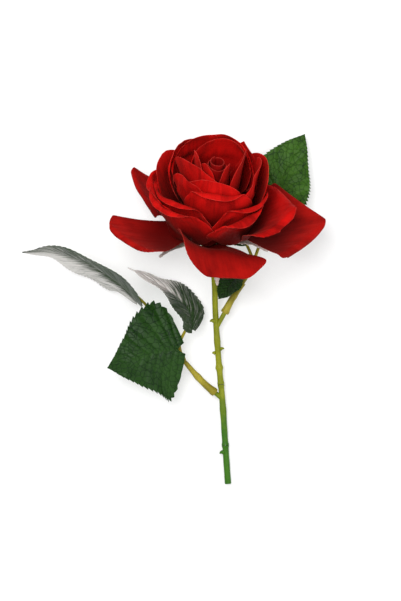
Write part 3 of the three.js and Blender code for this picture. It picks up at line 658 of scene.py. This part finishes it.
def rods_object(name, rods, around, ridges, depth, material):
    """One object of closed rods, each given by its line, radii along it, rings, and first and last share."""
    points, edges, radii = [], [], []
    for line, radius_at, rings, start, end in rods:
        shares = np.linspace(start, end, rings)
        first = len(points)
        points.extend(line.at(shares) * MM)
        radii.extend(radius_at(shares) * MM)
        edges.extend((first + k, first + k + 1) for k in range(rings - 1))
    paths = bpy.data.meshes.new(f"{name}_paths")
    paths.from_pydata(np.array(points).tolist(), edges, [])
    store(paths, "rod_radius", radii)
    piece = bpy.data.objects.new(name, paths)
    bpy.context.collection.objects.link(piece)
    modifier = piece.modifiers.new("rods", "NODES")
    modifier.node_group = RODS
    values = {"Around": around, "Ridges": float(ridges), "Ridge Depth": depth, "Material": material}
    for item in RODS.interface.items_tree:
        if item.in_out == "INPUT" and item.name in values:
            modifier[item.identifier] = values[item.name]
    seen = piece.evaluated_get(bpy.context.evaluated_depsgraph_get())
    mesh = bpy.data.meshes.new_from_object(seen)
    piece.modifiers.remove(modifier)
    piece.data = mesh
    mesh.name = name
    mesh.shade_smooth()
    mesh.set_sharp_from_angle(angle=math.radians(60))
    return piece


def place(piece, slot, *nodes):
    """The piece stands for these solids, which it hides, and rides on the root body. The slot is not used."""
    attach(piece, "root")
    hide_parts(*nodes)
    return piece


# Shader building
class Nodes:
    """Adds nodes to one tree. A node input may be given a value or another node's socket."""

    def __init__(self, tree):
        self.tree = tree

    def add(self, kind, inputs=None, **settings):
        node = self.tree.nodes.new(kind)
        for key, value in settings.items():
            setattr(node, key, value)
        for key, value in (inputs or {}).items():
            self.set(node.inputs[key], value)
        return node

    def set(self, socket, value):
        if isinstance(value, bpy.types.NodeSocket):
            self.tree.links.new(value, socket)
        elif isinstance(value, (tuple, list)) and len(value) == 3 and socket.type == "RGBA":
            socket.default_value = (*value, 1)
        else:
            socket.default_value = value

    def math(self, operation, *values, clamp=False):
        return self.add(
            "ShaderNodeMath", dict(enumerate(values)), operation=operation, use_clamp=clamp
        ).outputs[0]

    def ramp(self, value, low, high, to_low=0.0, to_high=1.0):
        return self.add(
            "ShaderNodeMapRange",
            {"Value": value, "From Min": low, "From Max": high, "To Min": to_low, "To Max": to_high},
            interpolation_type="SMOOTHSTEP",
        ).outputs["Result"]

    def mix(self, share, first, second):
        return self.add(
            "ShaderNodeMix", {0: share, 6: first, 7: second}, data_type="RGBA"
        ).outputs[2]

    def noise(self, vector, scale, detail=3.0, roughness=0.55):
        return self.add(
            "ShaderNodeTexNoise", {"Vector": vector, "Scale": scale, "Detail": detail, "Roughness": roughness}
        ).outputs["Fac"]

    def stretched(self, vector, x, y, z=1.0):
        return self.add("ShaderNodeMapping", {"Vector": vector, "Scale": Vector((x, y, z))}).outputs["Vector"]

    def uv(self):
        return self.add("ShaderNodeUVMap", uv_map="flat_cut").outputs["UV"]

    def layer(self, name):
        return self.add("ShaderNodeAttribute", attribute_name=name).outputs["Fac"]

    def place(self):
        return self.add("ShaderNodeTexCoord").outputs["Object"]

    def bump(self, height, strength, distance):
        return self.add(
            "ShaderNodeBump", {"Height": height, "Strength": strength, "Distance": distance}
        ).outputs["Normal"]


def new_material(name):
    material = bpy.data.materials.new(name)
    material.use_nodes = True
    return material, Nodes(material.node_tree), material.node_tree.nodes["Principled BSDF"]


def new_group(name, inputs, outputs):
    """Node group with float or vector inputs and float outputs, both by name."""
    tree = bpy.data.node_groups.new(name, "ShaderNodeTree")
    for label, default in inputs.items():
        kind = "NodeSocketVector" if default is None else "NodeSocketFloat"
        socket = tree.interface.new_socket(label, in_out="INPUT", socket_type=kind)
        if default is not None:
            socket.default_value = default
    for label in outputs:
        tree.interface.new_socket(label, in_out="OUTPUT", socket_type="NodeSocketFloat")
    nodes = Nodes(tree)
    entry = nodes.add("NodeGroupInput")
    leave = nodes.add("NodeGroupOutput")
    return tree, nodes, entry.outputs, leave.inputs


def use_group(nodes, tree, **inputs):
    return nodes.add("ShaderNodeGroup", inputs, node_tree=tree).outputs


def crinkle_group():
    """Lengthwise crinkles of dyed cloth, as a share of light and a height."""
    tree, nodes, given, result = new_group(
        "crinkles", {"Vector": None, "Fineness": 1.0}, ["Streak", "Height"]
    )
    fine = nodes.stretched(given["Vector"], 60, 6)
    broad = nodes.stretched(given["Vector"], 22, 3)
    streaks = nodes.noise(fine, given["Fineness"], 4, 0.6)
    folds = nodes.noise(broad, 1.0, 2, 0.5)
    weave = nodes.noise(given["Vector"], 260.0, 2, 0.6)
    nodes.set(result["Streak"], nodes.math("MULTIPLY", streaks, folds))
    height = nodes.math("ADD", nodes.math("MULTIPLY", streaks, 0.6), nodes.math("MULTIPLY", folds, 0.9))
    nodes.set(result["Height"], nodes.math("ADD", height, nodes.math("MULTIPLY", weave, 0.12)))
    return tree


def vein_group():
    """Printed and pressed veins of a leaf, from its layers leaf_across (-1 to 1) and leaf_along."""
    tree, nodes, given, result = new_group(
        "leaf_veins",
        {"Across": 0.0, "Along": 0.0, "Count": VEIN_COUNT, "Vector": None},
        ["Vein", "Net", "Streak", "Height"],
    )
    across = nodes.math("ABSOLUTE", given["Across"])
    wander = nodes.math("MULTIPLY", nodes.math("SUBTRACT", nodes.noise(given["Vector"], 9.0), 0.5), 0.5)
    bend = nodes.math("MULTIPLY", nodes.math("POWER", across, VEIN_CURVE), VEIN_SLANT)
    run = nodes.math("SUBTRACT", nodes.math("MULTIPLY", given["Along"], given["Count"]), bend)
    run = nodes.math("ADD", run, wander)
    from_vein = nodes.math("ABSOLUTE", nodes.math("SUBTRACT", nodes.math("FRACT", run), 0.5))
    side_vein = nodes.ramp(from_vein, 0.44, 0.5)
    middle = nodes.ramp(across, 0.0, 0.05, 1.0, 0.0)
    vein = nodes.math("MAXIMUM", side_vein, middle)
    cells = nodes.add(
        "ShaderNodeTexVoronoi", {"Vector": given["Vector"], "Scale": 32.0}, feature="DISTANCE_TO_EDGE"
    ).outputs["Distance"]
    net = nodes.ramp(cells, 0.0, 0.09, 1.0, 0.0)
    beside = nodes.add("ShaderNodeCombineXYZ", {"X": run, "Y": across, "Z": given["Across"]})
    streaks = nodes.stretched(beside.outputs["Vector"], 7, 1.2, 1.2)
    # Streak only breaks up the painted glare on a leaf print.
    nodes.set(result["Streak"], nodes.noise(streaks, 1.0, 4, 0.65))
    nodes.set(result["Vein"], vein)
    nodes.set(result["Net"], net)
    puff = nodes.ramp(from_vein, 0.5, 0.1)
    nodes.set(result["Height"], nodes.math("SUBTRACT", puff, nodes.math("MULTIPLY", net, 0.25)))
    return tree


def mottle_group():
    """Uneven dye of a moulded or cut piece, from broad and fine noise."""
    tree, nodes, given, result = new_group("mottle", {"Vector": None, "Scale": 60.0}, ["Tone", "Grain"])
    nodes.set(result["Tone"], nodes.ramp(nodes.noise(given["Vector"], given["Scale"], 3, 0.6), 0.3, 0.7))
    nodes.set(result["Grain"], nodes.noise(nodes.stretched(given["Vector"], 8, 1.2, 8), 160.0, 3, 0.6))
    return tree


CRINKLES = crinkle_group()
VEINS = vein_group()
MOTTLE = mottle_group()
RODS = rod_tree()


# Materials
def grained(nodes, surface, colour, mottle, roughness, height=0.35):
    """Gives a surface its colour and a fine grain between two values of roughness."""
    nodes.set(surface.inputs["Base Color"], colour)
    nodes.set(surface.inputs["Roughness"], nodes.ramp(mottle["Grain"], 0.3, 0.7, *roughness))
    if height:
        nodes.set(surface.inputs["Normal"], nodes.bump(mottle["Grain"], height, GRAIN_DEPTH))


def petal_material(name, deep_and_shaded, bright, rim_pale_and_highlight):
    """Velvety cloth with painted shade towards the foot, painted light and shade along its lengthwise
    crinkles, and a paler rim, partly the cut edge's own colour and partly a painted highlight.
    """
    material, nodes, surface = new_material(name)
    flat = nodes.uv()
    crinkle = use_group(nodes, CRINKLES, Vector=flat, Fineness=1.0)
    cloud = nodes.noise(nodes.stretched(flat, 6, 6), 1.0, 3, 0.6)
    # The crinkle streaks lighten and darken the colour: painted light and shade of the crinkles. The cloud is
    # uneven dye.
    streaks = nodes.math("MULTIPLY", crinkle["Streak"], 0.55)
    light = nodes.math("ADD", streaks, nodes.math("MULTIPLY", cloud, 0.6))
    # Painted shade: towards the petal's foot, deep in the bloom, the colour falls to its dark end.
    foot_shade = nodes.ramp(nodes.layer("along"), 0.35, 0.92, 0.02, 1.0)
    colour = nodes.mix(nodes.math("MULTIPLY", nodes.ramp(light, 0.12, 0.6), foot_shade), deep_and_shaded, bright)
    # Paler rim: partly the frayed cut edge's own colour, partly a painted highlight along the rims.
    fray = nodes.math("MULTIPLY", nodes.noise(nodes.stretched(flat, 30, 30), 1.0, 2), 0.9)
    edge = nodes.ramp(nodes.math("ADD", nodes.layer("from_rim"), fray), 0.3, 0.9, 1.0, 0.0)
    colour = nodes.mix(nodes.math("MULTIPLY", edge, 0.45), colour, rim_pale_and_highlight)
    nodes.set(surface.inputs["Base Color"], colour)
    nodes.set(surface.inputs["Roughness"], nodes.ramp(crinkle["Streak"], 0.1, 0.5, 0.8, 0.6))
    nodes.set(surface.inputs["Normal"], nodes.bump(crinkle["Height"], 0.25, 0.0005))
    surface.inputs["Sheen Weight"].default_value = 0.06
    surface.inputs["Sheen Tint"].default_value = (1, 0.2, 0.15, 1)
    surface.inputs["Specular IOR Level"].default_value = 0.05
    return material


def leaf_material(name, dark, light, vein_colour, vein_share, glare_painted=False):
    """Printed leaf cloth with a satin coat. A leaf with painted glare is painted pale grey where that layer
    is high: a painted reflection of the light on the satin.
    """
    material, nodes, surface = new_material(name)
    flat = nodes.uv()
    across, along = nodes.layer("leaf_across"), nodes.layer("leaf_along")
    veins = use_group(nodes, VEINS, Across=across, Along=along, Count=VEIN_COUNT, Vector=flat)
    tone = use_group(nodes, MOTTLE, Vector=flat, Scale=7.0)["Tone"]
    cells = nodes.math("MULTIPLY", nodes.math("SUBTRACT", 1.0, veins["Net"]), 0.5)
    colour = nodes.mix(nodes.math("ADD", nodes.math("MULTIPLY", tone, 0.5), cells), dark, light)
    printed = nodes.math("MULTIPLY", veins["Vein"], nodes.ramp(along, 0.05, 0.75, 1.0, 0.15))
    colour = nodes.mix(nodes.math("MULTIPLY", printed, vein_share), colour, vein_colour)
    if glare_painted:
        # Painted glare: pale grey where the glare layer and the vein streaks are high, a painted reflection
        # on the satin.
        reach = nodes.math("ADD", nodes.layer("painted_glare"), nodes.math("MULTIPLY", veins["Streak"], 2.4))
        pale = nodes.ramp(reach, 1.45, 2.25)
        colour = nodes.mix(pale, colour, (0.72, 0.7, 0.67))
    nodes.set(surface.inputs["Base Color"], colour)
    nodes.set(surface.inputs["Roughness"], nodes.ramp(tone, 0, 1, 0.38, 0.5))
    nodes.set(surface.inputs["Normal"], nodes.bump(veins["Height"], 0.5, 0.001))
    surface.inputs["Specular IOR Level"].default_value = 0.1
    return material


def stem_material():
    """Moulded stem, olive near the bloom and green towards the cut end."""
    material, nodes, surface = new_material("stem_moulding")
    at = nodes.place()
    mottle = use_group(nodes, MOTTLE, Vector=at, Scale=90.0)
    height = nodes.add("ShaderNodeSeparateXYZ", {"Vector": at}).outputs["Y"]
    upward = nodes.ramp(nodes.math("ADD", height, nodes.math("MULTIPLY", mottle["Tone"], 0.01)), 0.03, 0.078)
    green = nodes.mix(mottle["Tone"], (0.022, 0.105, 0.002), (0.045, 0.155, 0.004))
    olive = nodes.mix(mottle["Tone"], (0.16, 0.18, 0.004), (0.25, 0.26, 0.01))
    grained(nodes, surface, nodes.mix(upward, green, olive), mottle, (0.4, 0.6), 0.4)
    surface.inputs["Specular IOR Level"].default_value = MOULDED_GLOSS
    return material


def moulded_material(name, first, second, roughness=0.45, scale=90.0):
    material, nodes, surface = new_material(name)
    mottle = use_group(nodes, MOTTLE, Vector=nodes.place(), Scale=scale)
    colour = nodes.mix(mottle["Tone"], first, second)
    grained(nodes, surface, colour, mottle, (roughness - 0.08, roughness + 0.1))
    surface.inputs["Specular IOR Level"].default_value = MOULDED_GLOSS
    return material


def sepal_material():
    """Thin green cloth that pales to pinkish white at its frayed edges."""
    material, nodes, surface = new_material("sepal_cloth")
    at = nodes.place()
    mottle = use_group(nodes, MOTTLE, Vector=at, Scale=120.0)
    colour = nodes.mix(mottle["Tone"], (0.09, 0.17, 0.05), (0.24, 0.32, 0.16))
    pale = nodes.math("ADD", nodes.layer("paleness"), nodes.math("MULTIPLY", mottle["Tone"], 0.35))
    colour = nodes.mix(nodes.ramp(pale, 0.45, 0.95), colour, (0.62, 0.54, 0.5))
    grained(nodes, surface, colour, mottle, (0.6, 0.75), 0.4)
    return material


def wire_material():
    material, nodes, surface = new_material("drawn_wire")
    mottle = use_group(nodes, MOTTLE, Vector=nodes.place(), Scale=300.0)
    colour = nodes.mix(mottle["Tone"], (0.32, 0.32, 0.33), (0.5, 0.5, 0.5))
    grained(nodes, surface, colour, mottle, (0.3, 0.45), height=0)
    nodes.set(surface.inputs["Metallic"], 1.0)
    return material


# Bloom
def seed_of(name):
    return sum(ord(letter) * (k + 3) for k, letter in enumerate(name))


def ruffled(name, grid, u, v, from_rim, height=0.45):
    """Slow uneven waves that grow towards a petal's rim."""
    rng = np.random.default_rng(seed_of(name))
    wave = np.zeros_like(u)
    for _ in range(5):
        across, along, phase = rng.uniform(1.5, 5.0), rng.uniform(0.5, 2.5), rng.uniform(0, 2 * math.pi)
        wave += np.sin(across * u * math.pi * 0.5 + along * v * math.pi + phase) * rng.uniform(0.4, 1.0)
    near_rim = np.exp(-from_rim / 6.0) * smooth_step(0.3, 0.7, v)
    pucker = np.zeros_like(u)
    for _ in range(4):
        count, slant, phase = rng.uniform(9, 19), rng.uniform(-4, 4), rng.uniform(0, 2 * math.pi)
        pucker += np.sin(count * u * math.pi * 0.5 + slant * v * math.pi + phase)
    crinkle = pucker / 4 * 0.16 * np.exp(-from_rim / 9.0) * smooth_step(0.35, 0.8, v)
    return grid + normals_of(grid) * (wave / 2.2 * height * near_rim + crinkle)[..., None]


def rim_distance(flat, length, u):
    """Distance of each point of a flat petal to its outline, about."""
    across = np.abs(flat[0][:, -1:]) - np.abs(flat[0])
    along = flat[1][-1:, :] - flat[1]
    return np.minimum(across, along)


def make_petal(name, petal, earlier, material):
    shift, sheet = settled_shift(
        lambda u, v: petal_surface(petal, u, v), COARSE_ALONG, COARSE_ACROSS, petal.get("fall", 0), earlier
    )
    columns = np.linspace(-1, 1, 53)
    rows = np.concatenate([np.linspace(0, 0.7, 30, endpoint=False), np.linspace(0.7, 1, 34)])
    u, v = np.meshgrid(columns, rows)
    grid = petal_surface(petal, u, v) + spread_shift(shift, COARSE_ALONG, columns, rows)
    length = petal_line(petal).length
    flat = flat_petal(petal, length, u, v)
    from_rim = np.maximum(rim_distance(flat, length, u), 0)
    grid = ruffled(name, grid, u, v, from_rim)
    thickness = PETAL_THICKNESS * lerp(0.5, 1.0, smooth_step(0, 1.5, from_rim))
    layers = dict(along=v, from_rim=from_rim)
    offset = seed_of(name) % 97
    piece = sheet_object(
        f"{name}_cloth", bloom_to_world(grid), thickness, layers, [material], (flat[0] + offset, flat[1])
    )
    place(piece, "petal", name)
    return sheet


def make_coil(material):
    """The bud's petal, wound round the core."""
    columns, rows = np.linspace(0, 1, 200), np.linspace(0, 1, 24)
    wound, v = np.meshgrid(columns, rows)
    angle = math.radians(200) + 2 * math.pi * COIL_TURNS * wound
    radius = lerp(3.4, 6.0, wound) * lerp(1, 0.95, v * v) - 0.4 * wound * (1 - v)
    top = 57 - 4 * wound + 0.5 * np.sin(angle * 2.3) * wound
    grid = np.stack([np.sin(angle) * radius, -np.cos(angle) * radius, lerp(24, top, v)], axis=-1)
    from_rim = (1 - v) * 30
    flat = (wound * 50, v * COIL_HEIGHT)
    piece = sheet_object(
        "bud_coil_cloth", bloom_to_world(grid), PETAL_THICKNESS,
        dict(along=0.35 + 0.4 * v, from_rim=from_rim), [material], flat,
    )
    place(piece, "petal", "bud_coil")


def sepal_surface(azimuth, droop, u, v):
    """Points of a sepal that leaves the disc level and ends at an angle of droop off the bloom's axis."""
    out = SEPAL_DISC_RADIUS + SEPAL_LENGTH * math.sin(math.radians(droop))
    tip = (out, SEPAL_LENGTH * math.cos(math.radians(droop)))
    spine = petal_spine((SEPAL_DISC_RADIUS - 1.5, 0), tip, (90, droop + 15))
    swell = lerp(0.75, 1, np.sin(math.pi * np.minimum(1, v * 1.6)))
    half = SEPAL_WIDTH / 2 * swell * (1 - 0.88 * v**2.5)
    middle = spine.at(v)
    height = SEPAL_HEIGHT + middle[..., 1] + 0.12 * half * u * u
    return in_azimuth(azimuth, middle[..., 0], u * half, height)


def make_sepals(earlier, material):
    """Five frayed sepals and the disc that joins them."""
    along = np.array([0, 0.2, 0.4, 0.6, 0.8, 1])
    columns, rows = np.linspace(-1, 1, 17), np.linspace(0, 1, 60)
    u, v = np.meshgrid(columns, rows)
    for k, (azimuth, droop) in enumerate(SEPALS):
        rng = np.random.default_rng(40 + k)
        shift, _ = settled_shift(lambda a, b: sepal_surface(azimuth, droop, a, b), along, 4, 75, earlier)
        nicks = rng.uniform(-0.22, 0.12, len(rows)) * smooth_step(0.1, 0.3, rows)
        fray = 1 + nicks[:, None] * np.abs(u) ** 3
        grid = sepal_surface(azimuth, droop, u * fray, v) + spread_shift(shift, along, columns, rows)
        curl = 0.8 * np.sin(v * 7 + k * 2.1) * smooth_step(0.2, 1, v) * u
        grid = grid + normals_of(grid) * curl[..., None]
        paleness = np.maximum(0.3 + np.abs(u) ** 2 * 0.6, 0.2 + v * 0.9)
        name = f"sepal_{k + 1}_cloth"
        piece = sheet_object(
            name, bloom_to_world(grid), 0.35, dict(paleness=paleness), [material], (u * 5, v * 25)
        )
        place(piece, "sepal", "sepal_star")
    around, out = np.meshgrid(np.linspace(0, 2 * math.pi, 49), np.linspace(1.3, SEPAL_DISC_RADIUS, 6))
    level = np.full_like(out, SEPAL_HEIGHT)
    disc = np.stack([out * np.cos(around), out * np.sin(around), level], axis=-1)
    piece = sheet_object(
        "sepal_disc_cloth", bloom_to_world(disc), 0.4, dict(paleness=0.1), [material], (around * 5, out)
    )
    place(piece, "sepal", "sepal_star")


# Leaves
def leaf_frame(leaf, v):
    """Point, way, side and upward direction along a leaf's middle line."""
    line = line_through(leaf["midrib"])
    way = line.way(v)
    flat_side = unit(np.cross(way, [0, 0, 1]))
    flat_up = unit(np.cross(flat_side, way))
    turn = np.radians(lerp(leaf["roll"][0], leaf["roll"][1], np.asarray(v, float)))[..., None]
    side = flat_side * np.cos(turn) + flat_up * np.sin(turn)
    up = flat_up * np.cos(turn) - flat_side * np.sin(turn)
    return line.at(v), way, side, up


def leaf_outline(leaf, v):
    """Half width along a leaf as a share of its widest: a rise from the base, then a taper."""
    broad, rise, taper = leaf.get("broad", 0.4), leaf.get("rise", 0.5), leaf.get("taper", 1.7)
    rising = np.sin((math.pi / 2) * np.clip(v / broad, 0, 1)) ** rise
    falling = 1 - (np.clip(v - broad, 0, 1) / (1 - broad)) ** taper
    return np.where(v < broad, np.maximum(0.12, rising), np.maximum(0.015, falling))


def leaf_surface(leaf, u, v):
    point, way, side, up = leaf_frame(leaf, v)
    half = (leaf["width"] / 2 * leaf_outline(leaf, v))[..., None]
    spread = np.abs(u)[..., None]
    fold = math.radians(leaf["fold"])
    back = leaf.get("heart", 1.5) * spread**1.5 * (1 - v[..., None]) ** 4
    across = side * u[..., None] * half * math.cos(fold)
    return point - way * back + across + up * spread * half * math.sin(fold)


def make_leaf(name, leaf, top, under):
    """A leaf with a toothed margin, pressed veins and a slow wave along its edges."""
    rows = np.linspace(0, 1, leaf["teeth"] * 7 + 1)
    columns = np.linspace(-1, 1, 41)
    u, v = np.meshgrid(columns, rows)
    rng = np.random.default_rng(seed_of(name))
    tooth = (v * leaf["teeth"] + 0.35 * np.sign(u)) % 1
    bite = 0.085 * (1 - tooth) * smooth_step(0.03, 0.12, v) * np.abs(u) ** 6
    grid = leaf_surface(leaf, u * (1 + bite - 0.02), v)
    half = leaf["width"] / 2 * leaf_outline(leaf, v)
    length = line_through(leaf["midrib"]).length
    run = v * VEIN_COUNT - VEIN_SLANT * np.abs(u) ** VEIN_CURVE
    groove = np.exp(-((run % 1 - 0.5) ** 2) / 0.012)
    puff = leaf.get("puff", 0.35) * (1 - groove) * np.sin(np.pi * np.minimum(1, np.abs(u) * 1.4))
    puff = puff * smooth_step(0.02, 0.2, v)
    wave = 0.9 * np.sin(v * rng.uniform(14, 20) + np.sign(u) * rng.uniform(0.5, 2.0)) * np.abs(u) ** 2.5
    wave *= smooth_step(0.05, 0.3, v) * smooth_step(1.0, 0.85, v)
    middle = -0.5 * np.exp(-((u * half) ** 2) / 1.2) * smooth_step(0.9, 0.3, v)
    grid = grid + normals_of(grid) * ((puff + wave + middle) * min(1, leaf["width"] / 40))[..., None]
    # Painted glare: pale reflection painted towards the tip, along the lower side where the light catches the
    # satin, and by the midrib.
    low_side = -u if leaf["roll"][0] > 0 else u
    at_tip, at_low_side, at_midrib = leaf.get("painted_glare", (0, 0, 0))
    painted_glare = 0.1 + at_tip * smooth_step(0.3, 0.9, v) + at_low_side * smooth_step(-0.15, 0.5, low_side)
    painted_glare = painted_glare + at_midrib * np.exp(-((u - 0.1) ** 2) / 0.04) * smooth_step(0.15, 0.45, v)
    layers = dict(leaf_across=u, leaf_along=v, painted_glare=painted_glare)
    flat = (u * half, v * length)
    piece = sheet_object(f"{name}_cloth", grid, 0.4, layers, [top, under], flat)
    place(piece, "leaf", name)


def spine_under(leaf, share):
    """Points of the stalk's spine, just under the leaf."""
    points = []
    for part in (0.25, 0.6, 1):
        point, _, _, up = leaf_frame(leaf, np.array(share * part))
        below = LEAF_THICKNESS / 2 + CLEARANCE + lerp(PETIOLE_RADIUS, SPINE_TIP_RADIUS, part**0.8)
        points.append(point - up * (below + 0.15))
    return points


def make_stalk(name, stalk, material):
    def sleeve_radius(t):
        foot_collar = 0.25 * np.exp(-(((t - 0.06) / 0.05) ** 2))
        upper_collar = 0.3 * np.exp(-(((t - 0.55) / 0.08) ** 2))
        return lerp(SLEEVE_RADIUS, PETIOLE_RADIUS * 1.3, t) + foot_collar + upper_collar

    def branch_radius(t):
        return lerp(PETIOLE_RADIUS, SPINE_TIP_RADIUS, t**1.5)

    rods = [(line_through(stalk["sleeve"]), sleeve_radius, 40, 0, 1)]
    for branch in stalk["branches"]:
        line = line_through([*branch["lead"], *spine_under(LEAVES[branch["leaf"]], branch["share"])])
        rods.append((line, branch_radius, 50, 0, 1))
    place(rods_object(f"{name}_moulding", rods, 24, 6, 0.05, material), "leaf_stalk", name)


# Stem
def stem_line():
    cup_top = -SEPAL_THICKNESS - 2 * CLEARANCE - 0.2
    neck = cup_top - CUP_LENGTH - 1.5 * CLEARANCE
    ends = bloom_to_world(np.array([[0, 0, neck - 4], [0, 0, neck]]))
    return line_through([*STEM_POINTS, *ends])


def thorn(at, out, length, radius):
    """A blunt curved thorn that leaves the stem towards `out`."""
    at, out = np.array(at, float), unit(np.array(out, float))
    line = line_through([at, at + out * length * 0.6, at + out * length + np.array([0, -0.25 * length, 0])])
    return line, lambda t: radius * (1 - t) ** 0.7 + 0.12, 12, 0, 1


def peg(side):
    return line_through(PEGS[side]), lambda t: np.full_like(t, PEG_RADIUS), 10, 0, 1


def make_stem(material):
    """Three moulded sections with knots, thorns and pegs. The wire's end shows in the cut face."""
    line = stem_line()
    half_gap = CLEARANCE / 2 / line.length
    knots = [
        (0.163, 0.35, 0.006), (0.17, 0.3, 0.006), (0.318, 0.3, 0.02), (0.42, 0.35, 0.006),
        (0.43, 0.35, 0.006), (0.495, 0.75, 0.01), (0.61, 0.35, 0.02),
    ]

    def radius(t):
        swell = sum(size * np.exp(-(((t - at) / spread) ** 2)) for at, size, spread in knots)
        return lerp(STEM_RADIUS_FOOT, STEM_RADIUS_NECK, t) - 0.05 + swell * 0.8 + 0.03 * np.sin(t * 90)

    sections = {
        "stem_section_lower": ("stem_green", 0, SECTION_ENDS[0], [
            thorn((-2.6, 19.5, 1.2), (-1, -0.1, 0.25), 2.6, 1.5),
        ]),
        "stem_section_middle": ("stem_green", *SECTION_ENDS, [peg("left")]),
        "stem_section_upper": ("stem_olive", SECTION_ENDS[1], 1, [
            peg("right"),
            thorn((-8.2, 99.5, 6.9), (-1, 0.1, 0.2), 3.0, 1.5),
            thorn((-4.6, 82.5, 5.0), (1, 0.25, 0.1), 2.4, 1.1),
            thorn((-7.9, 80, 5.0), (-1, 0.1, 0.1), 1.8, 1.2),
        ]),
    }
    for name, (slot, low, high, extras) in sections.items():
        start = low + half_gap
        end = high - (half_gap if high < 1 else 0)
        rings = int((end - start) * line.length / 0.8)
        rods = [(line, radius, rings, start, end), *extras]
        place(rods_object(f"{name}_moulding", rods, 30, 5, 0.03, material), slot, name)


# Room, light and camera
def seen_rays(nodes):
    """1 for the rays that show a surface or the surround, 0 for the rays that light the rose."""
    path = nodes.add("ShaderNodeLightPath").outputs
    through = nodes.math("MAXIMUM", path["Is Glossy Ray"], path["Is Transmission Ray"])
    return nodes.math("MAXIMUM", path["Is Camera Ray"], through)


def make_room():
    """White floor under the rose, evenly lit, with a white surround."""
    material, nodes, surface = new_material("floor_white")
    grain = nodes.noise(nodes.place(), 40.0)
    pale = nodes.mix(grain, (0.94, 0.94, 0.94), (0.96, 0.96, 0.96))
    seen = seen_rays(nodes)
    nodes.set(surface.inputs["Base Color"], nodes.mix(seen, pale, (0.5, 0.5, 0.5)))
    nodes.set(surface.inputs["Emission Color"], (1.0, 1.0, 1.0))
    nodes.set(surface.inputs["Emission Strength"], nodes.math("MULTIPLY", seen, 0.5))
    nodes.set(surface.inputs["Roughness"], 0.9)
    surface.inputs["Specular IOR Level"].default_value = 0
    signs = [(-1, -1), (1, -1), (1, 1), (-1, 1)]
    points = [(x * FLOOR_SIZE, y * FLOOR_SIZE, FLOOR_HEIGHT - 0.1) for x, y in signs]
    floor = add_object("floor", points, [(0, 1, 2, 3)], [material])
    world = bpy.data.worlds.new("surround")
    bpy.context.scene.world = world
    world.use_nodes = True
    nodes = Nodes(world.node_tree)
    background = world.node_tree.nodes["Background"]
    nodes.set(background.inputs["Color"], (1.0, 1.0, 1.0))
    nodes.set(background.inputs["Strength"], nodes.ramp(seen_rays(nodes), 0, 1, SURROUND_LIGHT, 1.0))


def add_light(name, at, energy, size, target=(-0.01, 0.16, 0.02)):
    light = bpy.data.lights.new(name, "AREA")
    light.energy, light.size = energy, size
    lamp = bpy.data.objects.new(name, light)
    lamp.location = at
    lamp.rotation_euler = (Vector(target) - Vector(at)).to_track_quat("-Z", "Y").to_euler()
    bpy.context.collection.objects.link(lamp)


def make_camera():
    """Straight above the rose, as in the photograph."""
    scale = PIXEL * MM
    middle = (PHOTO_SIZE[0] / 2, PHOTO_SIZE[1] / 2)
    camera = bpy.data.cameras.new("camera")
    camera.sensor_width = 36
    camera.lens = camera.sensor_width * (CAMERA_HEIGHT - FOCUS_HEIGHT) / (PHOTO_SIZE[1] * scale)
    holder = bpy.data.objects.new("camera", camera)
    holder.location = (
        (middle[0] - STEM_FOOT_PIXEL[0]) * scale, (STEM_FOOT_PIXEL[1] - middle[1]) * scale, CAMERA_HEIGHT
    )
    bpy.context.collection.objects.link(holder)
    bpy.context.scene.camera = holder
    bpy.context.scene.view_settings.view_transform = "Standard"


def dress_solids():
    """Better surfaces for the solids that stay as they are."""
    looks = {
        "calyx_cup": moulded_material("calyx_moulding", (0.12, 0.17, 0.015), (0.25, 0.27, 0.03)),
        "bud_core": moulded_material("core_foam", (0.6, 0.55, 0.45), (0.72, 0.68, 0.6), 0.85, 240.0),
        "stem_wire": wire_material(),
    }
    for name, material in looks.items():
        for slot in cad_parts[name].material_slots:
            slot.material = material


def main():
    make_camera()
    make_room()
    add_light("key_light", (-0.25, 0.35, 1.15), 11.5, 0.55)
    add_light("fill_light", (0.6, -0.15, 0.9), 3.5, 0.8)
    # The petal materials are copies of one dyed cloth, made lighter or darker for where the light falls: the
    # inner petals' copy is lighter, the outer petals' and the bud's darker, as painted light and shade.
    velvet = petal_material(
        "petal_velvet", (0.075, 0.0005, 0.0005), (0.53, 0.004, 0.003), (0.68, 0.06, 0.045)
    )
    spread = petal_material("spread_velvet", (0.11, 0.001, 0.001), (0.38, 0.005, 0.003), (0.55, 0.06, 0.04))
    bud = petal_material("bud_velvet", (0.07, 0.0005, 0.0005), (0.36, 0.003, 0.003), (0.45, 0.04, 0.03))
    earlier = []
    for name, petal in PETALS.items():
        earlier.append(make_petal(name, petal, earlier, spread if name.startswith("outer") else velvet))
    make_coil(bud)
    make_sepals(earlier, sepal_material())
    under = leaf_material("leaf_underside", (0.13, 0.19, 0.1), (0.22, 0.29, 0.17), (0.34, 0.38, 0.26), 0.5)
    printed = leaf_material(
        "leaf_print", (0.001, 0.011, 0.0015), (0.018, 0.058, 0.008), (0.07, 0.17, 0.03), 0.1
    )
    # A lighter copy of the leaf print for the upper right leaf: its extra brightness is painted light.
    bright = leaf_material(
        "leaf_print_lit", (0.001, 0.014, 0.001), (0.042, 0.12, 0.01), (0.12, 0.25, 0.03), 0.3
    )
    glare_painted = leaf_material(
        "leaf_print_painted_glare", (0.001, 0.01, 0.0015), (0.02, 0.05, 0.01), (0.06, 0.1, 0.05), 0.2, glare_painted=True
    )
    for name, leaf in LEAVES.items():
        top = glare_painted if "painted_glare" in leaf else bright if name == "leaf_right_top" else printed
        make_leaf(name, leaf, top, under)
    stalks = moulded_material("stalk_moulding", (0.2, 0.165, 0.008), (0.36, 0.3, 0.025))
    for name, stalk in STALKS.items():
        make_stalk(name, stalk, stalks)
    make_stem(stem_material())
    dress_solids()


main()
